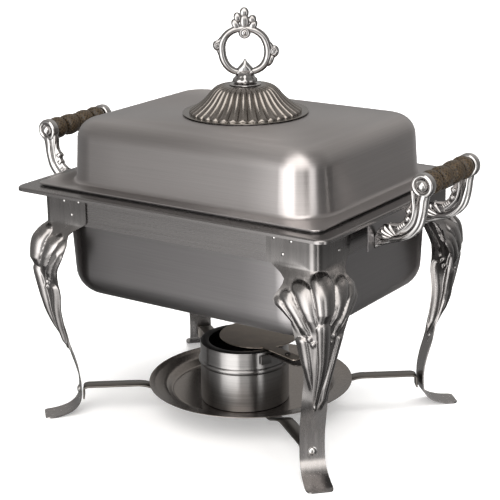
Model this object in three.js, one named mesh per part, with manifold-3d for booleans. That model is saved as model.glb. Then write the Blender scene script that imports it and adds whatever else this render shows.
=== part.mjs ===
// Half-size chafing dish: a food pan over a hot-water pan in a footed stand, warmed by a gel-fuel
// burner, under a lift-off lid. Millimetres, +Z up. X runs from handle to handle, the front is -Y,
// and the origin is on the floor under the middle of the stand.
import * as THREE from 'three';
import { mergeVertices } from 'three/addons/utils/BufferGeometryUtils.js';
import Module from 'manifold-3d';

const wasm = await Module();
wasm.setup();

// ---------- driving dimensions ----------
const GAP = 0.3; // clearance between pieces that touch
const SHEET = 0.8; // pans and lid
const FRAME_SHEET = 1.2; // rim and apron
const LEG_SHEET = 1.6; // stamped legs
const CORNER_STEPS = 3; // facets in each rounded corner

// stand
const RIM_TOP = 260;
const RIM = { w: 383.5, d: 304.2, r: 12 };
const HEM_DROP = 4; // height of the rim's turned-down edge
const BRACKET = { x: 170.7, y: 131 }; // outer faces of the leg brackets, from the middle
const BRACKET_RADIUS = 9.2;
const APRON_BOTTOM = 222;
const APRON_RADIUS = 12; // wider than the brackets' corners, so that it clears them

// pans
const WATER_PAN = { w: 327.6, d: 255.2, r: 46, bottom: 139, fillet: 28.8, draft: 4.8 };
const WATER_FLANGE = { w: 346, d: 267, r: 9 };
const FOOD_PAN = { w: 300, d: 225, r: 44, depth: 60, fillet: 16, draft: 4 };
const FOOD_FLANGE = { w: 338, d: 260, r: 8 };

// lid
const LID_FLANGE = { w: 350, d: 271, r: 9 };
const LID_BODY = { w: 312, d: 233, r: 40 };
const LID_WALL_TOP = 306;
const LID_SHOULDER = 22;
const LID_TOP = 331.3;

// finial on the lid
const DOME_FLANGE_RADIUS = 65.7;
const DOME_TOP = 361;
const FINIAL_TURN = 35; // degrees: the ring is turned on its screw
const RING_CENTRE_Z = 395.5;
const SCREW_RADIUS = 2.5;

// handles
const HANDLE = { x: 235, y: 46, z: 295 }; // axis end of each grip
const SCROLL_THICK = 10;
const ROD_RADIUS = 3;
const PLATE = { x: 182.2, halfLength: 61, thick: 1.8, bottom: 225 };

// tray and straps
const TRAY_RADIUS = 111.3;
const TRAY_BRIM_Z = 35.2;
const TRAY_FLOOR_Z = 25;
const STRAP = { wide: 16, thick: 1.8 };

// burner
const COVER = { r: 47.2, bottom: 67, top: 91 };
const CUP = {
  x: 11,
  y: -26,
  r: 47.4,
  neck: 45.4, // radius inside the cover's sleeve
  bottom: TRAY_FLOOR_Z + GAP,
  shoulder: COVER.bottom - GAP,
  top: 88,
};
const PIVOT = { x: 80.6, y: -47.1 }; // rivet that the damper swings on
const DAMPER_TURN = -15; // degrees from closed, as stored
const COVER_HANDLE_TURN = -20; // degrees round the cup, from +X

// ---------- materials ----------
const steel = (color, roughness) => new THREE.MeshStandardMaterial({ color, roughness, metalness: 1 });
const BRUSHED = steel(0x8f8985, 0.38);
const LEG_STEEL = steel(0x847d7a, 0.3);
const CAST = steel(0xb9b6b3, 0.16);
const BURNER_STEEL = steel(0x7d7977, 0.28);
const DARK_STEEL = steel(0x57504b, 0.45);
const WOOD = new THREE.MeshStandardMaterial({ color: 0x4a3822, roughness: 0.5, metalness: 0 });

const object = new THREE.Group();
const rad = THREE.MathUtils.degToRad;

function addMesh(name, geometry, material, parent = object) {
  const mesh = new THREE.Mesh(geometry, material);
  mesh.name = name;
  parent.add(mesh);
  return mesh;
}

// ---------- geometry helpers ----------
function signedVolume(positions, index) {
  const [a, b, c] = [new THREE.Vector3(), new THREE.Vector3(), new THREE.Vector3()];
  let sum = 0;
  for (let i = 0; i < index.length; i += 3) {
    a.fromArray(positions, 3 * index[i]);
    b.fromArray(positions, 3 * index[i + 1]);
    c.fromArray(positions, 3 * index[i + 2]);
    sum += a.dot(b.cross(c));
  }
  return sum;
}

// A closed surface through loops of equally many points. A ring joins its last loop to its first;
// otherwise the end loops are capped by pairing the points that face each other.
function loft(loops, ring = false) {
  const count = loops[0].length;
  const positions = loops.flat().flatMap((p) => [p.x, p.y, p.z]);
  const index = [];
  const spans = ring ? loops.length : loops.length - 1;
  for (let i = 0; i < spans; i++) {
    const here = i * count;
    const next = ((i + 1) % loops.length) * count;
    for (let j = 0; j < count; j++) {
      const k = (j + 1) % count;
      index.push(here + j, here + k, next + k, here + j, next + k, next + j);
    }
  }
  if (!ring) {
    const last = (loops.length - 1) * count;
    for (let j = 0; j < count / 2 - 1; j++) {
      const across = count - 1 - j;
      index.push(j, across - 1, j + 1, j, across, across - 1);
      index.push(last + j, last + j + 1, last + across - 1, last + j, last + across - 1, last + across);
    }
  }
  if (signedVolume(positions, index) < 0) index.reverse();
  const geometry = new THREE.BufferGeometry();
  geometry.setAttribute('position', new THREE.Float32BufferAttribute(positions, 3));
  geometry.setIndex(index);
  return geometry;
}

// Rounded rectangle, counter-clockwise, at height z.
function roundedLoop({ w, d, r }, z, steps = CORNER_STEPS) {
  const points = [];
  const corners = [[1, 1, 0], [-1, 1, 90], [-1, -1, 180], [1, -1, 270]];
  for (const [sx, sy, start] of corners) {
    for (let i = 0; i <= steps; i++) {
      const angle = rad(start + (90 * i) / steps);
      const x = sx * (w / 2 - r) + r * Math.cos(angle);
      const y = sy * (d / 2 - r) + r * Math.sin(angle);
      points.push(new THREE.Vector3(x, y, z));
    }
  }
  return points;
}

const inset = ({ w, d, r }, by) => ({ w: w - 2 * by, d: d - 2 * by, r: Math.max(r - by, 0.5) });
const disc = (radius) => ({ w: 2 * radius, d: 2 * radius, r: radius - 0.01 });

// A turned piece about Z. The profile is [radius, height] pairs.
function turned(profile, segments = 24) {
  const closed = profile[0][0] > 0;
  const points = profile.map(([r, z]) => new THREE.Vector2(r, z));
  if (closed) points.push(points[0].clone());
  const lathe = new THREE.LatheGeometry(points, segments).rotateX(Math.PI / 2);
  return cleaned(lathe);
}

// Merged and without slivers, so that only one closed surface is left.
function cleaned(geometry) {
  const source = geometry.index ? geometry : geometry.clone();
  source.deleteAttribute('normal');
  source.deleteAttribute('uv');
  const merged = mergeVertices(source, 1e-4);
  const old = merged.index.array;
  const index = [];
  for (let i = 0; i < old.length; i += 3) {
    const [a, b, c] = [old[i], old[i + 1], old[i + 2]];
    if (a !== b && b !== c && c !== a) index.push(a, b, c);
  }
  if (signedVolume(merged.attributes.position.array, index) < 0) index.reverse();
  merged.setIndex(index);
  return merged;
}

function toSolid(geometry) {
  const mesh = cleaned(geometry);
  return new wasm.Manifold(new wasm.Mesh({
    numProp: 3,
    vertProperties: Float32Array.from(mesh.attributes.position.array),
    triVerts: Uint32Array.from(mesh.index.array),
  }));
}

function fromSolid(solid) {
  const mesh = solid.getMesh();
  const geometry = new THREE.BufferGeometry();
  geometry.setAttribute('position', new THREE.Float32BufferAttribute(mesh.vertProperties, 3));
  geometry.setIndex(Array.from(mesh.triVerts));
  return geometry;
}

const joined = (shapes) => shapes.map(toSolid).reduce((all, one) => all.add(one));
const cylinder = (radius, length, segments = 12) => new THREE.CylinderGeometry(radius, radius, length, segments);

// A plate with the given outline in the XZ plane, thick along Y and centred on y = 0.
function plateXZ(points, thick) {
  const shape = new THREE.Shape(points.map(([x, z]) => new THREE.Vector2(x, z)));
  const extruded = new THREE.ExtrudeGeometry(shape, { depth: thick, bevelEnabled: false });
  return cleaned(extruded.translate(0, 0, -thick / 2).rotateX(Math.PI / 2));
}

// Outline of a bar of the given thickness whose upper side follows the points.
function barOutline(points, thick) {
  const under = points.map(([x, z], i) => {
    const [px, pz] = points[Math.max(i - 1, 0)];
    const [nx, nz] = points[Math.min(i + 1, points.length - 1)];
    const length = Math.hypot(nx - px, nz - pz);
    return [x + (thick * (nz - pz)) / length, z - (thick * (nx - px)) / length];
  });
  return [...points, ...under.reverse()];
}

// ---------- stand: rim and legs ----------
function topFrame() {
  const apron = {
    w: 2 * (BRACKET.x - LEG_SHEET - GAP),
    d: 2 * (BRACKET.y - LEG_SHEET - GAP),
    r: APRON_RADIUS,
  };
  const opening = inset(apron, FRAME_SHEET);
  const underside = RIM_TOP - FRAME_SHEET;
  return loft([
    roundedLoop(apron, APRON_BOTTOM),
    roundedLoop(apron, underside),
    roundedLoop(inset(RIM, FRAME_SHEET), underside),
    roundedLoop(inset(RIM, FRAME_SHEET), RIM_TOP - HEM_DROP),
    roundedLoop(RIM, RIM_TOP - HEM_DROP),
    roundedLoop(RIM, RIM_TOP - 0.6),
    roundedLoop(inset(RIM, 0.6), RIM_TOP),
    roundedLoop(opening, RIM_TOP),
    roundedLoop(opening, APRON_BOTTOM),
  ], true);
}

// The leg's outer surface down its middle, from the bracket to the toe. out is the distance beyond
// the bracket corner along the diagonal, half is half the width, fold is how steeply the wings turn
// back from the middle, and tilt is how far the outward direction is turned up from level.
const LEG_STATIONS = [
  { out: -3.8, z: 258.4, half: 41, fold: 1, tilt: 0 },
  { out: -3.8, z: 227, half: 41, fold: 1, tilt: 0 },
  { out: -3.2, z: 220, half: 35, fold: 0.97, tilt: 0 },
  { out: 2.4, z: 212.5, half: 31.5, fold: 0.88, tilt: 0 },
  { out: 7.4, z: 206, half: 34, fold: 0.8, tilt: 0 },
  { out: 10, z: 199, half: 38.5, fold: 0.72, tilt: 0 },
  { out: 11.3, z: 190, half: 43, fold: 0.64, tilt: 0 },
  { out: 11.8, z: 178, half: 37, fold: 0.64, tilt: 0 },
  { out: 11.3, z: 167, half: 30, fold: 0.7, tilt: 0 },
  { out: 9.7, z: 157, half: 28.5, fold: 0.75, tilt: 0 },
  { out: 6.6, z: 142, half: 22, fold: 0.8, tilt: -5 },
  { out: 2.5, z: 124, half: 17.5, fold: 0.8, tilt: -12 },
  { out: -3.8, z: 107, half: 14.5, fold: 0.7, tilt: -18 },
  { out: -10.6, z: 92.5, half: 13.7, fold: 0.45, tilt: -18 },
  { out: -18, z: 76, half: 13.3, fold: 0.08, tilt: -16 },
  { out: -24.5, z: 57, half: 12.9, fold: 0, tilt: -12 },
  { out: -27.6, z: 40, half: 12.7, fold: 0, tilt: 0 },
  { out: -27.4, z: 22.5, half: 12.8, fold: 0, tilt: 9 },
  { out: -24, z: 13.5, half: 13, fold: 0, tilt: 35 },
  { out: -16.5, z: 7, half: 13.3, fold: 0, tilt: 56 },
  { out: -6, z: 3.2, half: 13.6, fold: 0, tilt: 75 },
  { out: 3, z: LEG_SHEET, half: 13.8, fold: 0, tilt: 90 },
  { out: 11.6, z: LEG_SHEET, half: 12.5, fold: 0, tilt: 90 },
];
const LEG_ACROSS = [-1, -0.6, -0.22, 0, 0.22, 0.6, 1];

// How far the wing has turned back at t from the middle, and its slope there.
function foldAt(t, fold) {
  const bend = Math.atan(fold);
  const edge = BRACKET_RADIUS * Math.sin(bend);
  const reach = Math.abs(t);
  if (reach < edge) {
    const depth = BRACKET_RADIUS - Math.sqrt(BRACKET_RADIUS ** 2 - t * t);
    return { depth, slope: Math.sign(t) * Math.tan(Math.asin(reach / BRACKET_RADIUS)) };
  }
  const depth = fold * (reach - edge) + BRACKET_RADIUS * (1 - Math.cos(bend));
  return { depth, slope: Math.sign(t) * fold };
}

function legLoop({ out, z, half, fold, tilt }, sx, sy) {
  const level = Math.cos(rad(tilt));
  const rise = Math.sin(rad(tilt));
  const place = (t, back) => {
    const s = out - back * level;
    return new THREE.Vector3(
      sx * (BRACKET.x + (s + t) * Math.SQRT1_2),
      sy * (BRACKET.y + (s - t) * Math.SQRT1_2),
      z - back * rise,
    );
  };
  const outer = LEG_ACROSS.map((part) => place(part * half, foldAt(part * half, fold).depth));
  const inner = LEG_ACROSS.map((part) => {
    const t = part * half;
    const { depth, slope } = foldAt(t, fold);
    const length = Math.hypot(1, slope);
    return place(t - (slope * LEG_SHEET) / length, depth + LEG_SHEET / length);
  });
  return [...outer, ...inner.reverse()];
}

// Domed fastener head: its flat side is at the origin and it points along +Z.
function dome(radius, height, segments) {
  return turned([[0, 0], [radius, 0], [radius * 0.85, height * 0.6], [0, height]], segments);
}

// Turns a piece made along +Z to point along the given level direction.
function pointed(geometry, direction) {
  const turn = new THREE.Quaternion().setFromUnitVectors(new THREE.Vector3(0, 0, 1), direction.normalize());
  return geometry.applyQuaternion(turn);
}

const LEGS = [
  { name: 'front_left', sx: -1, sy: -1 },
  { name: 'front_right', sx: 1, sy: -1 },
  { name: 'back_left', sx: -1, sy: 1 },
  { name: 'back_right', sx: 1, sy: 1 },
];
const RIVET_PLACES = [{ along: 49, z: 248 }, { along: 39, z: 233 }];

function addLegs() {
  for (const { name, sx, sy } of LEGS) {
    const loops = LEG_STATIONS.map((station) => legLoop(station, sx, sy));
    addMesh(`leg_${name}`, loft(loops), LEG_STEEL);
    RIVET_PLACES.forEach(({ along, z }, i) => {
      const long = pointed(dome(1.9, 1, 6), new THREE.Vector3(0, sy, 0));
      long.translate(sx * (BRACKET.x - along), sy * (BRACKET.y + GAP), z);
      addMesh(`rivet_${name}_long_${i + 1}`, long, CAST);
      const end = pointed(dome(1.9, 1, 6), new THREE.Vector3(sx, 0, 0));
      end.translate(sx * (BRACKET.x + GAP), sy * (BRACKET.y - along), z);
      addMesh(`rivet_${name}_end_${i + 1}`, end, CAST);
    });
  }
}

// ---------- tray under the burner ----------
// Both straps run from leg to leg along a diagonal. The upper side is given as [distance from the
// middle, height]; drop lowers the middle of the strap that passes under the other.
const LEG_INSIDE = Math.hypot(BRACKET.x, BRACKET.y) - 31.3;
function strapOutline(drop) {
  const half = [
    [26, 20.6 - drop],
    [84, 21.6 - drop * 0.5],
    [101, 27.6],
    [117, 33.4],
    [LEG_INSIDE - 5, 33.4],
    [LEG_INSIDE, 31],
    [LEG_INSIDE + 0.4, 19],
  ];
  const mirrored = half.map(([x, z]) => [-x, z]).reverse();
  return barOutline([...mirrored, ...half], STRAP.thick);
}

function addStraps() {
  const angle = Math.atan2(BRACKET.y, BRACKET.x);
  const hole = cylinder(SCREW_RADIUS + GAP, 60, 8).rotateX(Math.PI / 2);
  [[1, 0], [-1, STRAP.thick + GAP]].forEach(([side, drop], i) => {
    const strap = toSolid(plateXZ(strapOutline(drop), STRAP.wide)).subtract(toSolid(hole.clone()));
    addMesh(`cross_strap_${i + 1}`, fromSolid(strap).rotateZ(side * angle), BRUSHED);
  });
}

function addStrapScrews() {
  for (const { name, sx, sy } of LEGS) {
    const head = pointed(dome(4.2, 2.4, 10), new THREE.Vector3(sx, sy, 0));
    const s = (GAP - 27.3) * Math.SQRT1_2;
    head.translate(sx * (BRACKET.x + s), sy * (BRACKET.y + s), 27.2);
    addMesh(`strap_screw_${name}`, head, CAST);
  }
}

function fuelTray() {
  const hole = SCREW_RADIUS + GAP;
  return turned([
    [hole, TRAY_FLOOR_Z],
    [85, TRAY_FLOOR_Z],
    [90, TRAY_FLOOR_Z + 1.2],
    [97, 31.4],
    [TRAY_RADIUS - 1, TRAY_BRIM_Z],
    [TRAY_RADIUS, TRAY_BRIM_Z - 0.8],
    [98, 30.2],
    [91, TRAY_FLOOR_Z - 0.2],
    [85, TRAY_FLOOR_Z - 1],
    [hole, TRAY_FLOOR_Z - 1],
  ], 32);
}

// Low-headed bolt that holds the tray on the crossed straps; its nut is part of the same turned shape.
function trayBolt() {
  return turned([
    [0, 13.6],
    [5, 13.6],
    [5, 16.4],
    [SCREW_RADIUS, 16.4],
    [SCREW_RADIUS, TRAY_FLOOR_Z + GAP],
    [6, TRAY_FLOOR_Z + GAP],
    [5, TRAY_FLOOR_Z + 2],
    [0, TRAY_FLOOR_Z + 2.4],
  ], 12);
}

// ---------- burner ----------
function fuelCup() {
  const { r, neck, bottom, shoulder, top } = CUP;
  const floor = bottom + 4;
  return turned([
    [0, floor + 1],
    [r - 1, floor + 1],
    [r - 1, shoulder - 1],
    [neck - 1, shoulder - 1],
    [neck - 1, top],
    [neck, top],
    [neck, shoulder],
    [r, shoulder],
    [r, bottom],
    [r - 1, bottom],
    [r - 1, floor],
    [0, floor],
  ], 32).translate(CUP.x, CUP.y, 0);
}

// Sleeve that drops over the cup, with a bead round its lower edge and a flat ring round its mouth.
function burnerCover() {
  const { r, bottom, top } = COVER;
  return turned([
    [r - 1, bottom],
    [r + 1.8, bottom + 1.2],
    [r + 2.2, bottom + 3.4],
    [r + 0.4, bottom + 6],
    [r, bottom + 7],
    [r, top],
    [r - 9, top],
    [r - 9, top - 1],
    [r - 1, top - 1],
  ], 32).translate(CUP.x, CUP.y, 0);
}

// Flat bar outlined in the XY plane, from one end point to the other, with its underside at z.
function flatBar(from, to, wide, z, thick) {
  const [dx, dy] = [to[0] - from[0], to[1] - from[1]];
  const length = Math.hypot(dx, dy);
  const bar = new THREE.BoxGeometry(length, wide, thick);
  bar.rotateZ(Math.atan2(dy, dx));
  return bar.translate((from[0] + to[0]) / 2, (from[1] + to[1]) / 2, z + thick / 2);
}

const pivotHole = () => {
  const hole = cylinder(1.6 + GAP, 30, 8).rotateX(Math.PI / 2);
  return toSolid(hole.translate(PIVOT.x, PIVOT.y, 90));
};

// Fixed handle: a bar welded to the side of the sleeve, reaching out under the damper's arm.
function coverHandle() {
  const start = COVER.r + GAP + 0.4; // from the cup's axis
  const bar = joined([
    flatBar([start + 1.2, 1], [94.2, 4.5], 11, 87.5, 1.6),
    flatBar([start, 0], [start, -13], 1.4, 78, 11.1).translate(0.7, 0, 0),
  ]).rotate([0, 0, COVER_HANDLE_TURN]).translate([CUP.x, CUP.y, 0]);
  return fromSolid(bar.subtract(pivotHole()));
}

// Damper: a disc with an arm through the pivot, made closed and then swung to its stored place.
function damper() {
  const z = COVER.top + GAP;
  const plate = cylinder(43, 1.2, 28).rotateX(Math.PI / 2).translate(CUP.x - PIVOT.x, CUP.y - PIVOT.y, z + 0.6);
  plate.rotateZ(rad(DAMPER_TURN)).translate(PIVOT.x, PIVOT.y, 0);
  const arm = flatBar([43, -36], [97, -52], 12, z + 0.9, 1.5);
  return fromSolid(joined([plate, arm]).subtract(pivotHole()));
}

function damperRivet() {
  return turned([
    [0, 86],
    [2.6, 86],
    [2.6, 87.5 - GAP],
    [1.6, 87.5 - GAP],
    [1.6, COVER.top + 2.7 + GAP],
    [3, COVER.top + 2.7 + GAP],
    [2.2, COVER.top + 4],
    [0, COVER.top + 4.3],
  ], 8).translate(PIVOT.x, PIVOT.y, 0);
}

// ---------- pans ----------
// A drawn pan with a flat flange. top is the height of the flange's upper face.
function drawnPan(body, flange, top, bottom) {
  const outer = [];
  const inner = [];
  const wallFoot = bottom + body.fillet;
  for (const turn of [0, 30, 60, 90]) {
    const pull = body.draft + body.fillet * (1 - Math.cos(rad(turn)));
    const z = wallFoot - body.fillet * Math.sin(rad(turn));
    outer.push(roundedLoop(inset(body, pull), z));
    const innerPull = body.draft + SHEET + (body.fillet - SHEET) * (1 - Math.cos(rad(turn)));
    inner.push(roundedLoop(inset(body, innerPull), wallFoot - (body.fillet - SHEET) * Math.sin(rad(turn))));
  }
  return loft([
    ...inner.reverse(),
    roundedLoop(inset(body, SHEET), top),
    roundedLoop(flange, top),
    roundedLoop(flange, top - SHEET),
    roundedLoop(body, top - SHEET),
    ...outer,
  ]);
}

const WATER_TOP = RIM_TOP + GAP + SHEET;
const FOOD_TOP = WATER_TOP + GAP + SHEET;

// ---------- lid ----------
function lidShell(grow, under) {
  const body = inset(LID_BODY, -grow);
  const loops = [
    roundedLoop(inset(LID_FLANGE, -grow), RIM_TOP + 0.4),
    roundedLoop(inset(LID_FLANGE, -grow), FOOD_TOP + GAP + SHEET - under),
    roundedLoop(inset(body, -6), FOOD_TOP + GAP + SHEET - under),
    roundedLoop(inset(body, -1.6), FOOD_TOP + 2.6 - under),
    roundedLoop(body, FOOD_TOP + 6 - under),
  ];
  for (const turn of [0, 30, 60, 90]) {
    const pull = 2 + (LID_SHOULDER - under) * (1 - Math.cos(rad(turn)));
    loops.push(roundedLoop(inset(body, pull), LID_WALL_TOP + (LID_SHOULDER - under) * Math.sin(rad(turn))));
  }
  loops.push(roundedLoop({ w: 200, d: 160, r: 55 }, LID_TOP - 0.7 - under));
  loops.push(roundedLoop(disc(71), LID_TOP - under));
  loops.push(roundedLoop(disc(SCREW_RADIUS + GAP), LID_TOP - under));
  return loops;
}
const lid = () => loft([...lidShell(0, 0), ...lidShell(-SHEET, SHEET).reverse()], true);

// ---------- finial ----------
// Outer profile of the dome, from its flat flange up to its flat top.
const DOME_PROFILE = [
  [DOME_FLANGE_RADIUS, 0.9],
  [59, 0.9],
  [57.5, 3],
  [50, 8.5],
  [41, 16.5],
  [34, 25],
  [27, 28.6],
  [18, DOME_TOP - LID_TOP - GAP],
];

function finialDome() {
  const base = LID_TOP + GAP;
  const hole = SCREW_RADIUS + GAP;
  const top = DOME_TOP - LID_TOP - GAP;
  const outside = DOME_PROFILE.map(([r, z]) => [r, base + z]);
  const inside = DOME_PROFILE.slice(1).map(([r, z]) => [r - 0.9, base + z - 0.9]);
  inside[0][0] = 58.2;
  return turned([
    [DOME_FLANGE_RADIUS, base],
    ...outside,
    [hole, base + top],
    [hole, base + top - 0.9],
    ...inside.reverse(),
  ], 24);
}

const finialWasher = () => {
  const hole = SCREW_RADIUS + GAP;
  const [low, high] = [DOME_TOP + GAP, DOME_TOP + 1.5];
  return turned([[hole, low], [16.5, low], [15.5, high], [hole, high]], 20);
};

const RING_FOOT = DOME_TOP + 1.5 + GAP;

// One casting: collar, leaf, open ring, scrolls at its sides and a cluster of buds on top.
function finialRing() {
  const ball = (radius, x, z, sx = 1, sy = 1, sz = 1) => {
    const sphere = new THREE.SphereGeometry(radius, 7, 5).rotateX(Math.PI / 2);
    return sphere.scale(sx, sy, sz).translate(x, 0, z);
  };
  const collar = turned([
    [0, RING_FOOT],
    [11.5, RING_FOOT],
    [12.4, RING_FOOT + 3],
    [10, RING_FOOT + 8],
    [5, RING_FOOT + 11],
    [0, RING_FOOT + 12],
  ], 12);
  const leaf = turned([[0, 370], [8, 372], [6, 378], [0, 384.4]], 4);
  const ring = new THREE.TorusGeometry(22.6, 2.9, 6, 16).scale(1, 0.93, 1);
  const parts = joined([
    collar,
    leaf,
    ring.rotateX(Math.PI / 2).translate(0, 0, RING_CENTRE_Z),
    ball(6, 0, 418, 1, 0.7, 1.3),
    ball(6.5, 0, 427, 1, 0.7, 1),
    ball(4.4, 0.5, 436.4),
    ball(3.6, -7.5, 431),
    ball(3.9, 8.6, 428),
    ball(5, -28.5, 401, 1.1, 0.7, 1.4),
    ball(6, 29.3, 394, 1.1, 0.7, 1.4),
  ]);
  const bore = cylinder(SCREW_RADIUS + GAP, 16, 8).rotateX(Math.PI / 2).translate(0, 0, RING_FOOT);
  return fromSolid(parts.subtract(toSolid(bore)));
}

// Screw from inside the lid up into the casting.
function finialScrew() {
  const inside = LID_TOP - SHEET - GAP;
  return turned([
    [0, inside - 3.4],
    [5, inside - 2.6],
    [6.5, inside],
    [SCREW_RADIUS, inside],
    [SCREW_RADIUS, RING_FOOT + 7],
    [0, RING_FOOT + 7.6],
  ], 10);
}

// ---------- handles ----------
// Scroll bracket, outlined in the XZ plane from the root at the plate to the boss round the rod.
const SCROLL_OUTER = [
  [184.4, 226],
  [193, 230.2],
  [202, 234.6],
  [213, 238.4],
  [223, 245.2],
  [231.5, 253.4],
  [236.8, 264.6],
  [240, 277],
  [242, 288],
];
const SCROLL_INNER = [
  [228, 288],
  [224, 277],
  [218.6, 268],
  [214.6, 257.6],
  [209, 250.6],
  [202, 249],
  [196, 245.8],
  [188.5, 243.2],
  [184.4, 238],
];

function scrollBracket() {
  const band = plateXZ([...SCROLL_OUTER, ...SCROLL_INNER], SCROLL_THICK);
  const boss = cylinder(12, SCROLL_THICK, 16).translate(HANDLE.x, 0, HANDLE.z);
  const bore = cylinder(ROD_RADIUS + GAP, 30, 8).translate(HANDLE.x, 0, HANDLE.z);
  const recess = cylinder(7, 4, 10).translate(HANDLE.x, -SCROLL_THICK / 2, HANDLE.z);
  return fromSolid(joined([band, boss]).subtract(toSolid(bore)).subtract(toSolid(recess)));
}

const GRIP_PROFILE = [
  [7.5, 40.6],
  [10.6, 38],
  [11.9, 32.5],
  [11, 26.5],
  [9.4, 23.5],
  [10.9, 20],
  [11.6, 11],
  [10.6, 3],
  [9.6, 0],
];

function grip() {
  const mirrored = GRIP_PROFILE.slice(0, -1).map(([r, y]) => [r, -y]).reverse();
  const bore = ROD_RADIUS + GAP;
  return turned([[bore, 40.6], ...GRIP_PROFILE, ...mirrored, [bore, -40.6]], 12).rotateX(Math.PI / 2);
}

// Domed nut on the end of the rod, sunk in the boss. It is made pointing along +Z.
function capNut() {
  const bore = ROD_RADIUS + GAP;
  return turned([[bore, 0], [5.6, 0], [5.6, 2], [4, 4.2], [0, 5.2], [0, 3.4], [bore, 3.2]].reverse(), 10);
}

function addHandles() {
  for (const [side, sx] of [['left', -1], ['right', 1]]) {
    const top = RIM_TOP - FRAME_SHEET - GAP;
    const plate = new THREE.BoxGeometry(PLATE.thick, 2 * PLATE.halfLength, top - PLATE.bottom);
    plate.translate(sx * (PLATE.x + PLATE.thick / 2), 0, (top + PLATE.bottom) / 2);
    addMesh(`handle_plate_${side}`, plate, BRUSHED);
    addMesh(`handle_grip_${side}`, grip().translate(sx * HANDLE.x, 0, HANDLE.z), WOOD);
    const rod = cylinder(ROD_RADIUS, 2 * (HANDLE.y + SCROLL_THICK / 2) - 1, 8);
    addMesh(`handle_rod_${side}`, rod.translate(sx * HANDLE.x, 0, HANDLE.z), CAST);
    for (const [end, sy] of [['front', -1], ['back', 1]]) {
      const scroll = scrollBracket().scale(sx, -sy, 1).translate(0, sy * HANDLE.y, 0);
      addMesh(`handle_scroll_${side}_${end}`, cleaned(scroll), CAST);
      const nut = pointed(capNut(), new THREE.Vector3(0, sy, 0));
      nut.translate(sx * HANDLE.x, sy * (HANDLE.y + SCROLL_THICK / 2 - 2 + GAP), HANDLE.z);
      addMesh(`cap_nut_${side}_${end}`, nut, CAST);
      const screw = pointed(dome(3.2, 1.8, 8), new THREE.Vector3(-sx, 0, 0));
      screw.translate(sx * (PLATE.x - GAP), sy * HANDLE.y, 235);
      addMesh(`scroll_screw_${side}_${end}`, screw, CAST);
    }
  }
}

// ---------- assembly ----------
addMesh('top_frame', topFrame(), BRUSHED);
addLegs();
addStraps();
addStrapScrews();
addMesh('fuel_tray', fuelTray(), BRUSHED);
addMesh('tray_bolt', trayBolt(), CAST);
addHandles();
addMesh('fuel_cup', fuelCup(), BURNER_STEEL);
addMesh('burner_cover', burnerCover(), BURNER_STEEL);
addMesh('cover_handle', coverHandle(), DARK_STEEL);
addMesh('damper', damper(), DARK_STEEL);
addMesh('damper_rivet', damperRivet(), CAST);
addMesh('water_pan', drawnPan(WATER_PAN, WATER_FLANGE, WATER_TOP, WATER_PAN.bottom), BRUSHED);
addMesh('food_pan', drawnPan(FOOD_PAN, FOOD_FLANGE, FOOD_TOP, FOOD_TOP - FOOD_PAN.depth), BRUSHED);
addMesh('lid', lid(), BRUSHED);
addMesh('finial_dome', finialDome(), BRUSHED);
addMesh('finial_washer', finialWasher(), CAST);
addMesh('finial_ring', finialRing().rotateZ(rad(FINIAL_TURN)), CAST);
addMesh('finial_screw', finialScrew(), CAST);

export default object;
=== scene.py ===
# Looks for the chafing dish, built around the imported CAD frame. Helper lengths are in millimetres;
# every mesh is stored in metres in the CAD frame (+Z up, front -Y, origin on the floor).
import math

import bpy
import numpy as np
from mathutils import Matrix, Vector


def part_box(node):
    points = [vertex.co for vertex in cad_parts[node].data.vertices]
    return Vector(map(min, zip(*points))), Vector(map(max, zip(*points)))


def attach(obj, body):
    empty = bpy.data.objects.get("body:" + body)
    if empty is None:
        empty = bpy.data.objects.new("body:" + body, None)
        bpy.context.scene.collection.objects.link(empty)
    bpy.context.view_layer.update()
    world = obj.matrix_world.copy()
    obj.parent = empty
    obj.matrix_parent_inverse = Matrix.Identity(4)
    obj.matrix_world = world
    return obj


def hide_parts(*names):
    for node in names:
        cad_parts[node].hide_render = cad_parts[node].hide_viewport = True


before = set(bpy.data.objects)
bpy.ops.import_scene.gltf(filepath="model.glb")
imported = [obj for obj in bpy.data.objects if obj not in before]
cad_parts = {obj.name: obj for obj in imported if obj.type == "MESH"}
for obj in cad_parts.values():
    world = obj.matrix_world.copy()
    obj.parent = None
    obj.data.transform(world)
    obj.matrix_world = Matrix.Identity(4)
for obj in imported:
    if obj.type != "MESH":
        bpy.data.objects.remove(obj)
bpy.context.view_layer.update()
MM = 0.001
TAU = 2 * math.pi


def add_object(name, data):
    obj = bpy.data.objects.new(name, data)
    bpy.context.scene.collection.objects.link(obj)
    return obj


# ---------- materials ----------
def new_material(name):
    mat = bpy.data.materials.new(name)
    mat.use_nodes = True
    tree = mat.node_tree
    shader = tree.nodes["Principled BSDF"]
    return mat, tree, shader


def node(tree, kind, **settings):
    made = tree.nodes.new(kind)
    for key, value in settings.items():
        if key in made.inputs:
            made.inputs[key].default_value = value
        else:
            setattr(made, key, value)
    return made


def stretched_noise(tree, stretch, scale, detail=4.0, rough=0.6):
    coords = tree.nodes.new("ShaderNodeTexCoord")
    mapping = node(tree, "ShaderNodeMapping")
    mapping.inputs["Scale"].default_value = stretch
    noise = node(tree, "ShaderNodeTexNoise", Scale=scale, Detail=detail, Roughness=rough)
    tree.links.new(coords.outputs["Object"], mapping.inputs["Vector"])
    tree.links.new(mapping.outputs["Vector"], noise.inputs["Vector"])
    return noise


def ramp(tree, source, low, high, start=0.3, end=0.7):
    made = node(tree, "ShaderNodeMapRange")
    made.inputs["From Min"].default_value = start
    made.inputs["From Max"].default_value = end
    made.inputs["To Min"].default_value = low
    made.inputs["To Max"].default_value = high
    tree.links.new(source, made.inputs["Value"])
    return made.outputs["Result"]


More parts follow.
